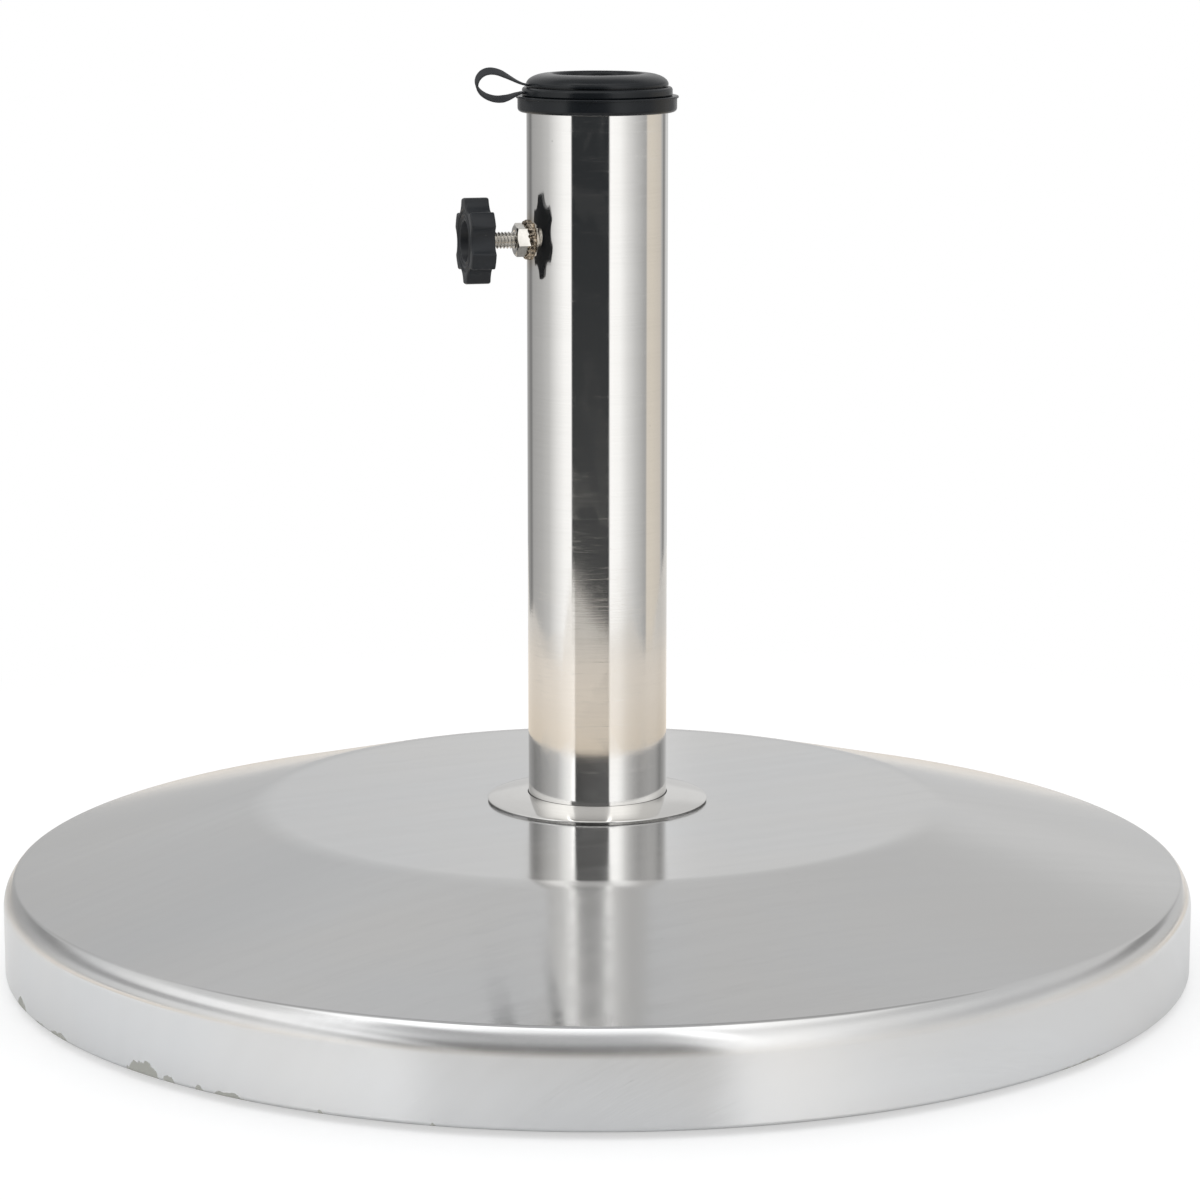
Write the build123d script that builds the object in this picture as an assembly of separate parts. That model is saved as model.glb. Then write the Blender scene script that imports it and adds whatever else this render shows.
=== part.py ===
from build123d import *
from math import atan2, cos, hypot, radians, sin, sqrt, tan
import os

# Parasol base: a round concrete-filled disc under a pressed steel cover, with a steel stand tube
# bolted to it from below, a star-knob clamp on the tube and two nested reducers in its mouth.
# Millimetres. The origin is on the floor under the centre of the disc, +Z is up, and the
# clamp screw and the reducers' strap point along -X.

# ---- disc ----
DISC_R = 225.0  # outside radius of the skirt
FOOT_STAND = 2.5  # the pads hold the skirt this far off the floor
SHEET = 0.7  # cover sheet thickness
PLATEAU_Z = 61.8  # flat middle of the cover
CREASE_R = 128.0  # the flat middle turns into the cone here
SHOULDER_Z = 36.5  # height at which the cone's line would meet the skirt's
CREASE_BEND = 40.0  # bend radius at the crease
RIM_EDGE_R = 221.0  # the cone breaks into the rim here
RIM_EDGE_BEND = 2.5  # bend radius at that break
RIM_LEAN = 50.0  # the rim falls this steeply from the break
RIM_BEND = 14.2  # bend radius from the rim into the skirt
HEM_BEND = 1.5  # bend radius at the foot of the skirt
HEM_W = 4.0  # lip turned in under the concrete

# ---- foot pads ----
PAD_COUNT = 4
PAD_R = 15.0
PAD_RING_R = 176.0  # pads' centres from the axis
PAD_FIRST_DEG = 45.0
PAD_SEAT = 3.0  # depth of the socket cast for each pad
PAD_EDGE = 1.0  # bevel round the underside

# ---- anchor: M12 x 70 bolt, washers and welded nut ----
BOLT_R = 6.0
BOLT_LENGTH = 70.0
BOLT_TIP_BEVEL = 1.0
M12_FLATS = 18.0
NUT_FACE_SHARE = 0.98  # a nut's round face, as a share of its size across the flats
NUT_BEVEL_SHARE = 1.15  # depth of the turned-off corners, over that of a 30 degree chamfer
HEAD_H = 7.5
NUT_H = 10.8
WASHER_R, WASHER_HOLE_R, WASHER_T = 18.5, 6.75, 3.0
SPRING_R, SPRING_T, SPRING_SLIT = 10.5, 2.5, 1.5
SPRING_SLIT_LEAN = 20.0  # the slit is cut this far off upright
RECESS_R, RECESS_DEPTH = 25.0, 15.0
BOLT_HOLE_R = 6.75

# ---- stand tube ----
TUBE_R = 26.2
TUBE_WALL = 1.0
TUBE_LENGTH = 265.0
SCREW_HOLE_PLAY = 0.35  # the cross hole's radius over the screw's
HOLE_DRILL_IN, HOLE_DRILL_OUT = 3.0, 1.0  # the drill runs this far inside and outside the wall
FOOT_PLATE_T = 5.0
ROSETTE_R = 41.7
ROSETTE_T = 0.5
ROSETTE_RIM_Z = 62.9  # top of the escutcheon at its rim
ROSETTE_NECK_Z = 65.0  # top of the escutcheon where it meets the tube
ROSETTE_CROWN = 0.25  # how far its slope bulges above a straight cone

# ---- clamp: 1/4 inch screw, 20 threads to the inch ----
CLAMP_Z = 275.7
SCREW_R = 3.15
NUT_BORE_R = 3.2
CLAMP_NUT_FLATS = 11.1
CLAMP_NUT_H = 5.6
CLAMP_NUT_TURN = 14.0  # the nut is welded on this many degrees from flats-level
CLAMP_NUT_FACE = 31.6  # distance of the nut's outer face from the tube's axis
SCREW_TIP = 26.0  # distance of the metal end from the tube's axis
HEAD_FLATS = 11.1
HEAD_T = 3.8
HEAD_COVER = 0.8  # plastic between the knob's back and the moulded-in head
WELD_R = 7.8  # outer radius of the bead round the nut
WELD_FACE = 28.6  # outermost reach of the bead from the tube's axis
WELD_ROOT = 2.5  # depth from which the bead is built, before the tube is cut out of it
WELD_SIDE, WELD_SLOPE, WELD_ROUND = 1.6, 1.4, 1.0  # drop, width and rounding of its shoulder
TIP_HEAD_R, TIP_HEAD_T, TIP_ROUND = 2.6, 1.5, 0.5
TIP_STEM_R, TIP_STEM_L = 1.45, 4.0
TIP_PLAY = 0.05

# ---- star knob ----
KNOB_BACK = 41.6  # distance of the knob's back from the tube's axis
KNOB_T = 9.1
KNOB_R = 15.9
LOBES = 6
LOBE_FIRST_DEG = 5.0  # top lobe leans this far from +Z towards +Y
SCALLOP_R = 6.0
SCALLOP_RING_R = 18.6
LOBE_ROUND = 1.1
KNOB_FACE_EDGE = 0.9
KNOB_BACK_EDGE = 0.5
POCKET_R, POCKET_DEPTH = 7.6, 3.4
RING_RADII = (9.8, 11.9)  # raised rings on the knob's face
RING_W, RING_H = 0.9, 0.45
FACE_DISH_R, FACE_DISH_DEPTH = 12.4, 0.6  # shallow dish that the rings stand in

# ---- collar and reducers ----
COLLAR_R = 29.5
COLLAR_LIP_R, COLLAR_LIP_T = 30.1, 0.8
COLLAR_FOOT_Z = 322.5
COLLAR_TOP_Z = 328.4
COLLAR_BORE_R = 24.2  # takes a 48 mm pole
COLLAR_SLEEVE_R = 25.1
COLLAR_DEPTH = 22.0  # sleeve below the tube's mouth
COLLAR_PLAY = 0.1  # between the collar's skirt and the tube
COLLAR_FOOT_ROUND = 1.5  # outer edge of the collar's foot
COLLAR_MOUTH_ROUND = 0.4  # inner edge of the collar's foot
COLLAR_LIP_ROUND, COLLAR_LIP_UNDER = 0.35, 0.2  # upper and lower edge of the lip
BORE_ROUND = 0.5  # upper edge of the collar's and the outer reducer's bore
OUTER_FLANGE_R, OUTER_FLANGE_T = 27.85, 3.3
OUTER_SLEEVE_R = 23.95
OUTER_BORE_R = 19.3  # takes a 38 mm pole
OUTER_DEPTH = 38.0
OUTER_WALL = 1.6
OUTER_FOOT_ROUND, OUTER_UNDER_ROUND, OUTER_TOP_ROUND = 0.4, 0.6, 1.2
RIB_COUNT, RIB_T = 12, 1.6
INNER_FLANGE_R = 26.35
INNER_CREST_R, INNER_CREST_H = 18.0, 4.9
INNER_UNDERCUT_R, INNER_UNDERCUT = 24.6, 0.5  # shadow gap under the dome's edge
INNER_SLEEVE_R = 19.05
INNER_BORE_R = 16.3  # takes a 32 mm pole
INNER_DEPTH = 30.0
BORE_LEAD = 2.0  # height of the rounding into the bore

# ---- strap ----
STRAP_T, STRAP_W = 0.9, 3.9
STRAP_TAB_W, STRAP_TAB_REACH, STRAP_TAB_EMBED = 4.6, 1.0, 2.0
UPPER_TAB_RISE, LOWER_TAB_RISE = 1.0, 1.45  # tabs' heights over the flanges' undersides
STRAP_GAP = 0.2
# centre line of the loop from the dome round to the lower ring: (distance from axis, height)
STRAP_ROUTE = (
    (29.6, 333.4), (33.4, 335.5), (37.0, 337.4), (40.9, 338.15), (44.4, 336.8), (46.2, 333.2),
    (44.4, 329.9), (40.7, 327.9), (36.8, 327.3), (33.2, 328.2), (30.9, 329.3),
)
STRAP_BEND_SHARE = 0.45  # each bend takes this much of the shorter run beside it


def turned(*corners):
    """Solid of revolution about Z from (radius, height, corner rounding) outline corners."""
    outline = FilletPolyline([c[:2] for c in corners], radius=[c[2] for c in corners], close=True)
    return revolve(Plane.XZ * make_face(outline), Axis.Z)


def hexagon_bar(flats, low, high):
    """Hexagonal bar along Z from `low` to `high`, measured across its flats."""
    hexagon = RegularPolygon(flats / 2, 6, major_radius=False)
    return Pos(0, 0, low) * extrude(hexagon, high - low)


def bevelled_nut(flats, low, high):
    """Hexagonal bar whose corners are turned off at 30 degrees at both ends."""
    corner_r = flats / sqrt(3)
    face_r = flats / 2 * NUT_FACE_SHARE
    drop = (corner_r - flats / 2) / sqrt(3) * NUT_BEVEL_SHARE
    turning = turned(
        (0, low, 0), (face_r, low, 0), (corner_r, low + drop, 0),
        (corner_r, high - drop, 0), (face_r, high, 0), (0, high, 0),
    )
    return hexagon_bar(flats, low, high) & turning


def rod(radius, low, high):
    """Cylinder along Z from `low` to `high`."""
    return Pos(0, 0, low) * extrude(Circle(radius), high - low)


def along_clamp(part):
    """Lay a part built along +Z down along the clamp screw's line, +Z pointing to -X."""
    return Pos(0, 0, CLAMP_Z) * Rot(0, -90, 0) * part


def inset(corners, depth):
    """Corners of the line that runs parallel to `corners`, `depth` to its right."""
    steps = [(b[0] - a[0], b[1] - a[1]) for a, b in zip(corners, corners[1:])]
    rights = [(dy / hypot(dx, dy), -dx / hypot(dx, dy)) for dx, dy in steps]
    moved = []
    for corner, before, after in zip(corners, rights[:1] + rights, rights + rights[-1:]):
        share = depth / (1 + before[0] * after[0] + before[1] * after[1])
        moved.append(
            (corner[0] + share * (before[0] + after[0]), corner[1] + share * (before[1] + after[1]))
        )
    return moved


# ---- the disc ----
CONE_FALL = (PLATEAU_Z - SHOULDER_Z) / (DISC_R - CREASE_R)
RIM_EDGE_Z = PLATEAU_Z - CONE_FALL * (RIM_EDGE_R - CREASE_R)
SKIRT_TOP_Z = RIM_EDGE_Z - (DISC_R - RIM_EDGE_R) * tan(radians(RIM_LEAN))
COVER_CORNERS = [
    (BOLT_HOLE_R, PLATEAU_Z), (CREASE_R, PLATEAU_Z), (RIM_EDGE_R, RIM_EDGE_Z),
    (DISC_R, SKIRT_TOP_Z), (DISC_R, FOOT_STAND), (DISC_R - HEM_W, FOOT_STAND),
]
COVER_BENDS = [CREASE_BEND, RIM_EDGE_BEND, RIM_BEND, HEM_BEND]
LINING_CORNERS = inset(COVER_CORNERS, SHEET)
LINING_BENDS = [bend - SHEET for bend in COVER_BENDS]
CORE_BOTTOM_Z = FOOT_STAND + SHEET
RECESS_ROOF_Z = CORE_BOTTOM_Z + RECESS_DEPTH


def pad_places():
    """Centres of the foot pads, as places on the floor."""
    return [
        Pos(PAD_RING_R * cos(radians(a)), PAD_RING_R * sin(radians(a)), 0)
        for a in (PAD_FIRST_DEG + 360 / PAD_COUNT * i for i in range(PAD_COUNT))
    ]


def make_steel_cover():
    """Pressed cover: flat middle, shallow cone, steep rounded rim, skirt and turned-in lip."""
    outside = FilletPolyline(COVER_CORNERS, radius=COVER_BENDS)
    inside = FilletPolyline(LINING_CORNERS, radius=LINING_BENDS)
    ends = [Line(COVER_CORNERS[i], LINING_CORNERS[i]) for i in (0, -1)]
    return revolve(Plane.XZ * make_face([outside, inside, *ends]), Axis.Z)


def make_concrete_core():
    """Concrete that fills the cover, with the bolt's recess and the pads' sockets cast in."""
    top = FilletPolyline(LINING_CORNERS, radius=LINING_BENDS)
    floor = Polyline(LINING_CORNERS[-1], (BOLT_HOLE_R, CORE_BOTTOM_Z), LINING_CORNERS[0])
    core = revolve(Plane.XZ * make_face([top, floor]), Axis.Z)
    core -= rod(RECESS_R, CORE_BOTTOM_Z - 1, RECESS_ROOF_Z)
    for place in pad_places():
        core -= place * rod(PAD_R, CORE_BOTTOM_Z - 1, CORE_BOTTOM_Z + PAD_SEAT)
    return core


def make_foot_pad(place):
    """Rubber disc with a bevelled underside, seated in the concrete."""
    return place * turned(
        (0, 0, 0), (PAD_R - PAD_EDGE, 0, 0), (PAD_R, PAD_EDGE, 0),
        (PAD_R, CORE_BOTTOM_Z + PAD_SEAT, 0), (0, CORE_BOTTOM_Z + PAD_SEAT, 0),
    )


# ---- the anchor, from the bolt head in the recess up to the nut inside the tube ----
WASHER_Z = RECESS_ROOF_Z - WASHER_T
HEAD_SEAT_Z = WASHER_Z - SPRING_T
BOLT_TIP_Z = HEAD_SEAT_Z + BOLT_LENGTH
PLATE_TOP_Z = PLATEAU_Z + FOOT_PLATE_T


def make_anchor_bolt():
    """Hexagon bolt, head downwards, that pulls the tube's foot plate onto the disc."""
    head = bevelled_nut(M12_FLATS, HEAD_SEAT_Z - HEAD_H, HEAD_SEAT_Z)
    shank = turned(
        (0, HEAD_SEAT_Z, 0), (BOLT_R, HEAD_SEAT_Z, 0), (BOLT_R, BOLT_TIP_Z - BOLT_TIP_BEVEL, 0),
        (BOLT_R - BOLT_TIP_BEVEL, BOLT_TIP_Z, 0), (0, BOLT_TIP_Z, 0),
    )
    return head + shank


def make_anchor_washer():
    """Large flat washer under the roof of the recess."""
    return rod(WASHER_R, WASHER_Z, RECESS_ROOF_Z) - rod(WASHER_HOLE_R, WASHER_Z, RECESS_ROOF_Z)


def make_spring_washer():
    """Split lock washer between the bolt head and the flat washer."""
    ring = rod(SPRING_R, HEAD_SEAT_Z, WASHER_Z) - rod(BOLT_R, HEAD_SEAT_Z, WASHER_Z)
    return ring - Pos(SPRING_R, 0, HEAD_SEAT_Z + SPRING_T / 2) * Rot(SPRING_SLIT_LEAN, 0, 0) * Box(
        SPRING_R, SPRING_SLIT, 2 * SPRING_T
    )


def make_foot_plate():
    """Disc welded into the foot of the tube."""
    return rod(TUBE_R - TUBE_WALL, PLATEAU_Z, PLATE_TOP_Z) - rod(BOLT_HOLE_R, PLATEAU_Z, PLATE_TOP_Z)


def make_foot_nut():
    """Nut welded to the foot plate inside the tube."""
    top = PLATE_TOP_Z + NUT_H
    return bevelled_nut(M12_FLATS, PLATE_TOP_Z, top) - rod(BOLT_R, PLATE_TOP_Z, top)


# ---- the stand tube ----
TUBE_TOP_Z = PLATEAU_Z + TUBE_LENGTH


def make_stand_tube():
    """Thin-walled tube with one cross hole for the clamp screw."""
    tube = rod(TUBE_R, PLATEAU_Z, TUBE_TOP_Z) - rod(TUBE_R - TUBE_WALL, PLATEAU_Z, TUBE_TOP_Z)
    drill = rod(SCREW_R + SCREW_HOLE_PLAY, TUBE_R - HOLE_DRILL_IN, TUBE_R + HOLE_DRILL_OUT)
    return tube - along_clamp(drill)


def make_rosette():
    """Slightly crowned escutcheon that hides the joint between tube and disc."""
    middle_r = (TUBE_R + ROSETTE_R) / 2
    middle_z = (ROSETTE_NECK_Z + ROSETTE_RIM_Z) / 2 + ROSETTE_CROWN
    top = [(TUBE_R, ROSETTE_NECK_Z), (middle_r, middle_z), (ROSETTE_R, ROSETTE_RIM_Z)]
    under = [(r, z - ROSETTE_T) for r, z in top]
    outline = [
        ThreePointArc(*top), ThreePointArc(*under),
        Line(top[0], under[0]), Line(top[-1], under[-1]),
    ]
    return revolve(Plane.XZ * make_face(outline), Axis.Z)


# ---- the clamp ----
def make_clamp_nut():
    """Nut on the outside of the tube, cut on its inner end to sit on the round wall."""
    nut = bevelled_nut(CLAMP_NUT_FLATS, CLAMP_NUT_FACE - CLAMP_NUT_H, CLAMP_NUT_FACE)
    nut -= rod(NUT_BORE_R, CLAMP_NUT_FACE - CLAMP_NUT_H, CLAMP_NUT_FACE)
    nut = along_clamp(Rot(0, 0, CLAMP_NUT_TURN) * nut)
    return nut - rod(TUBE_R, PLATEAU_Z, TUBE_TOP_Z)


def make_clamp_nut_weld():
    """Weld bead that ties the nut to the tube wall."""
    low = TUBE_R - WELD_ROOT
    bead = turned(
        (0, low, 0), (WELD_R, low, 0), (WELD_R, WELD_FACE - WELD_SIDE, 0),
        (WELD_R - WELD_SLOPE, WELD_FACE, WELD_ROUND), (0, WELD_FACE, 0),
    )
    bead -= Rot(0, 0, CLAMP_NUT_TURN) * hexagon_bar(CLAMP_NUT_FLATS, low, WELD_FACE)
    return along_clamp(bead) - rod(TUBE_R, PLATEAU_Z, TUBE_TOP_Z)


HEAD_BACK = KNOB_BACK + HEAD_COVER


def make_clamp_screw():
    """Threaded shank with a hexagon head moulded into the knob and a socket in its end."""
    shank = rod(SCREW_R, SCREW_TIP, HEAD_BACK)
    head = hexagon_bar(HEAD_FLATS, HEAD_BACK, HEAD_BACK + HEAD_T)
    socket = rod(TIP_STEM_R + TIP_PLAY, SCREW_TIP, SCREW_TIP + TIP_STEM_L + TIP_PLAY)
    return along_clamp(shank + head - socket)


def make_pressure_tip():
    """Plastic button in the end of the screw; the screw turns on its stem."""
    button = turned(
        (0, SCREW_TIP - TIP_HEAD_T, 0), (TIP_HEAD_R, SCREW_TIP - TIP_HEAD_T, TIP_ROUND),
        (TIP_HEAD_R, SCREW_TIP - TIP_PLAY, 0), (TIP_STEM_R, SCREW_TIP - TIP_PLAY, 0),
        (TIP_STEM_R, SCREW_TIP + TIP_STEM_L, 0), (0, SCREW_TIP + TIP_STEM_L, 0),
    )
    return along_clamp(button)


def star_outline():
    """Round blank with evenly spaced scallops, its lobe corners rounded."""
    star = Circle(KNOB_R)
    for i in range(LOBES):
        notch_deg = LOBE_FIRST_DEG + 360 / LOBES * (i + 0.5)
        star -= Rot(0, 0, notch_deg) * Pos(SCALLOP_RING_R, 0) * Circle(SCALLOP_R)
    return fillet(star.vertices(), LOBE_ROUND)


def make_clamp_knob():
    """Star knob: scalloped rim, dished face with two raised rings, round pocket in the middle."""
    front = KNOB_BACK + KNOB_T
    knob = Pos(0, 0, KNOB_BACK) * extrude(star_outline(), KNOB_T)
    ends = knob.faces().sort_by(Axis.Z)
    knob = fillet(ends[-1].edges(), KNOB_FACE_EDGE)
    knob = fillet(knob.faces().sort_by(Axis.Z)[0].edges(), KNOB_BACK_EDGE)
    knob -= rod(FACE_DISH_R, front - FACE_DISH_DEPTH, front)
    for radius in RING_RADII:
        base = front - FACE_DISH_DEPTH
        knob += turned(
            (radius - RING_W / 2, base, 0), (radius + RING_W / 2, base, 0), (radius, base + RING_H, 0)
        )
    knob -= rod(POCKET_R, front - POCKET_DEPTH, front)
    knob -= rod(SCREW_R, KNOB_BACK, HEAD_BACK)
    knob -= hexagon_bar(HEAD_FLATS, HEAD_BACK, HEAD_BACK + HEAD_T)
    return along_clamp(knob)


# ---- collar and reducers ----
def make_top_collar():
    """Cap over the tube's mouth: a skirt outside, a lining sleeve inside, a thin lip on top."""
    skirt_r = TUBE_R + COLLAR_PLAY
    lip_z = COLLAR_TOP_Z - COLLAR_LIP_T
    return turned(
        (COLLAR_SLEEVE_R, TUBE_TOP_Z - COLLAR_DEPTH, 0), (COLLAR_SLEEVE_R, TUBE_TOP_Z, 0),
        (skirt_r, TUBE_TOP_Z, 0), (skirt_r, COLLAR_FOOT_Z, COLLAR_MOUTH_ROUND),
        (COLLAR_R, COLLAR_FOOT_Z, COLLAR_FOOT_ROUND), (COLLAR_R, lip_z, 0),
        (COLLAR_LIP_R, lip_z, COLLAR_LIP_UNDER), (COLLAR_LIP_R, COLLAR_TOP_Z, COLLAR_LIP_ROUND),
        (COLLAR_BORE_R, COLLAR_TOP_Z, BORE_ROUND), (COLLAR_BORE_R, TUBE_TOP_Z - COLLAR_DEPTH, 0),
    )


OUTER_TOP_Z = COLLAR_TOP_Z + OUTER_FLANGE_T
OUTER_FOOT_Z = COLLAR_TOP_Z - OUTER_DEPTH
DOME_EDGE_Z = OUTER_TOP_Z + INNER_UNDERCUT
DOME_CREST_Z = OUTER_TOP_Z + INNER_CREST_H
UPPER_ROOT = (INNER_FLANGE_R + STRAP_TAB_REACH, OUTER_TOP_Z + UPPER_TAB_RISE)
LOWER_ROOT = (OUTER_FLANGE_R + STRAP_TAB_REACH, COLLAR_TOP_Z + LOWER_TAB_RISE)


def strap_tab(root, embed_r):
    """Flat-ended tab on a flange, from inside the flange out to the strap's root."""
    reach, height = root
    return Pos(-(reach + embed_r) / 2, 0, height) * Box(reach - embed_r, STRAP_TAB_W, STRAP_T)


def make_outer_reducer():
    """Flanged bush for the middle pole size: thin barrel, outside ribs, tab for the strap."""
    barrel_r = OUTER_BORE_R + OUTER_WALL
    bush = turned(
        (OUTER_BORE_R, OUTER_FOOT_Z, OUTER_FOOT_ROUND), (barrel_r, OUTER_FOOT_Z, 0),
        (barrel_r, COLLAR_TOP_Z, 0), (OUTER_FLANGE_R, COLLAR_TOP_Z, OUTER_UNDER_ROUND),
        (OUTER_FLANGE_R, OUTER_TOP_Z, OUTER_TOP_ROUND), (OUTER_BORE_R, OUTER_TOP_Z, BORE_ROUND),
    )
    middle_r = OUTER_BORE_R + OUTER_WALL / 2
    ring = rod(OUTER_SLEEVE_R, OUTER_FOOT_Z, COLLAR_TOP_Z) - rod(
        middle_r, OUTER_FOOT_Z, COLLAR_TOP_Z
    )
    blade = Pos(OUTER_SLEEVE_R / 2, 0, (OUTER_FOOT_Z + COLLAR_TOP_Z) / 2) * Box(
        OUTER_SLEEVE_R, RIB_T, OUTER_DEPTH
    )
    for i in range(RIB_COUNT):
        bush += ring & (Rot(0, 0, 360 / RIB_COUNT * i) * blade)
    return bush + strap_tab(LOWER_ROOT, OUTER_FLANGE_R - STRAP_TAB_EMBED)


def make_inner_reducer():
    """Flanged bush for the thin pole: domed top ring, plain sleeve, tab for the strap."""
    foot_z = OUTER_TOP_Z - INNER_DEPTH
    outline = [
        EllipticalCenterArc(
            (INNER_CREST_R, DOME_EDGE_Z), INNER_FLANGE_R - INNER_CREST_R,
            DOME_CREST_Z - DOME_EDGE_Z, start_angle=0, arc_size=90,
        ),
        EllipticalCenterArc(
            (INNER_CREST_R, DOME_CREST_Z - BORE_LEAD), INNER_CREST_R - INNER_BORE_R,
            BORE_LEAD, start_angle=90, arc_size=90,
        ),
        Polyline(
            (INNER_BORE_R, DOME_CREST_Z - BORE_LEAD), (INNER_BORE_R, foot_z),
            (INNER_SLEEVE_R, foot_z), (INNER_SLEEVE_R, OUTER_TOP_Z),
            (INNER_UNDERCUT_R, OUTER_TOP_Z), (INNER_UNDERCUT_R, DOME_EDGE_Z),
            (INNER_FLANGE_R, DOME_EDGE_Z),
        ),
    ]
    bush = revolve(Plane.XZ * make_face(outline), Axis.Z)
    return bush + strap_tab(UPPER_ROOT, INNER_FLANGE_R - STRAP_TAB_EMBED)


def easy_bends(route):
    """Largest bend radius for each inner corner of a route of (x, z) points."""
    bends = []
    for before, corner, after in zip(route, route[1:], route[2:]):
        run_in = (corner[0] - before[0], corner[1] - before[1])
        run_out = (after[0] - corner[0], after[1] - corner[1])
        cross = run_in[0] * run_out[1] - run_in[1] * run_out[0]
        turn = abs(atan2(cross, run_in[0] * run_out[0] + run_in[1] * run_out[1]))
        bends.append(STRAP_BEND_SHARE * min(hypot(*run_in), hypot(*run_out)) / tan(turn / 2))
    return bends


def make_tether_strap():
    """Flat band that loops out from the inner reducer's tab and back to the outer one's."""
    start = (UPPER_ROOT[0] + STRAP_GAP, UPPER_ROOT[1])
    end = (LOWER_ROOT[0] + STRAP_GAP, LOWER_ROOT[1])
    route = [(-r, z) for r, z in (start, *STRAP_ROUTE, end)]
    line = Plane.XZ * FilletPolyline(route, radius=easy_bends(route))
    section = Plane(line @ 0, x_dir=(0, 1, 0), z_dir=line % 0) * Rectangle(STRAP_W, STRAP_T)
    return sweep(section, line)


def make_parts():
    """Every node of the parasol base, by name."""
    parts = {
        "steel_cover": make_steel_cover(),
        "concrete_core": make_concrete_core(),
        "anchor_bolt": make_anchor_bolt(),
        "anchor_washer": make_anchor_washer(),
        "spring_washer": make_spring_washer(),
        "foot_plate": make_foot_plate(),
        "foot_nut": make_foot_nut(),
        "stand_tube": make_stand_tube(),
        "rosette": make_rosette(),
        "clamp_nut": make_clamp_nut(),
        "clamp_nut_weld": make_clamp_nut_weld(),
        "clamp_screw": make_clamp_screw(),
        "pressure_tip": make_pressure_tip(),
        "clamp_knob": make_clamp_knob(),
        "top_collar": make_top_collar(),
        "outer_reducer": make_outer_reducer(),
        "inner_reducer": make_inner_reducer(),
        "tether_strap": make_tether_strap(),
    }
    for number, place in enumerate(pad_places(), start=1):
        parts[f"foot_pad_{number}"] = make_foot_pad(place)
    return parts


os.makedirs("parts", exist_ok=True)
for name, part in make_parts().items():
    export_step(part, f"parts/{name}.step")
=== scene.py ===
"""Looks of a parasol base: a satin steel disc filled with concrete, a polished stand tube with a
star-knob clamp, and two nested plastic reducers tied together by a strap.

Lengths in the classes are millimetres, in the CAD model's own frame: the origin is on the floor
under the middle of the disc, +Z is up, and the clamp and the strap point along -X. Meshes are
written in metres.
"""
import logging
import math
from dataclasses import dataclass, field
from enum import Enum
from typing import Sequence

import bmesh
import bpy
import numpy as np
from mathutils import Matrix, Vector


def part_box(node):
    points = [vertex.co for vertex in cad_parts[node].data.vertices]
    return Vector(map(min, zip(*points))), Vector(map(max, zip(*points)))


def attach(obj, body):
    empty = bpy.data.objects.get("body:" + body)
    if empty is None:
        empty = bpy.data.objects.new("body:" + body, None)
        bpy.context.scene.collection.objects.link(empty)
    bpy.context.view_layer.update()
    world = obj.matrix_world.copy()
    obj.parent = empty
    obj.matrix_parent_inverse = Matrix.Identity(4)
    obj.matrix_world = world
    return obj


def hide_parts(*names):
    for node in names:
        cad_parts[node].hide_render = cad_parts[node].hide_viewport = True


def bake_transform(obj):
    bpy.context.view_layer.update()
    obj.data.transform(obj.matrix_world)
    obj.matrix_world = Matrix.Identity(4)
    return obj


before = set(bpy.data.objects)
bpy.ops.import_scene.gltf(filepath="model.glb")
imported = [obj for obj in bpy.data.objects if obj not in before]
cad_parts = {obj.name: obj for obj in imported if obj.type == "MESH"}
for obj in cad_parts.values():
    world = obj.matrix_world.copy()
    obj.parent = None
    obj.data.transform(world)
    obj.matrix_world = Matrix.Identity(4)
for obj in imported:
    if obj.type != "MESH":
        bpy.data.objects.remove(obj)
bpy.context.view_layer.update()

Array = np.ndarray
Corner = tuple[float, float, float]
Colour = tuple[float, float, float]
Node = bpy.types.Node
Socket = bpy.types.NodeSocket
Tree = bpy.types.NodeTree
Material = bpy.types.Material
Piece = bpy.types.Object

MM = 0.001
MERGE = 1e-6
GRAIN = "grain"
TUBE_RADIUS = 26.2
HEXAGON_STEPS = 144
# what easing leaves of the distance to a hexagon's corner
EASED = 0.992
log = logging.getLogger("parasol_base")


class Body(str, Enum):
    """The moving bodies of the CAD model."""

    BASE = "base"
    OUTER = "outer_reducer"
    INNER = "inner_reducer"
    TIP = "pressure_tip"
    HANDLE = "clamp_handle"


# ---------------------------------------------------------------- shapes


def unit(vector: Array) -> Array:
    """The vector at length one."""
    return vector / np.linalg.norm(vector)


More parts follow.
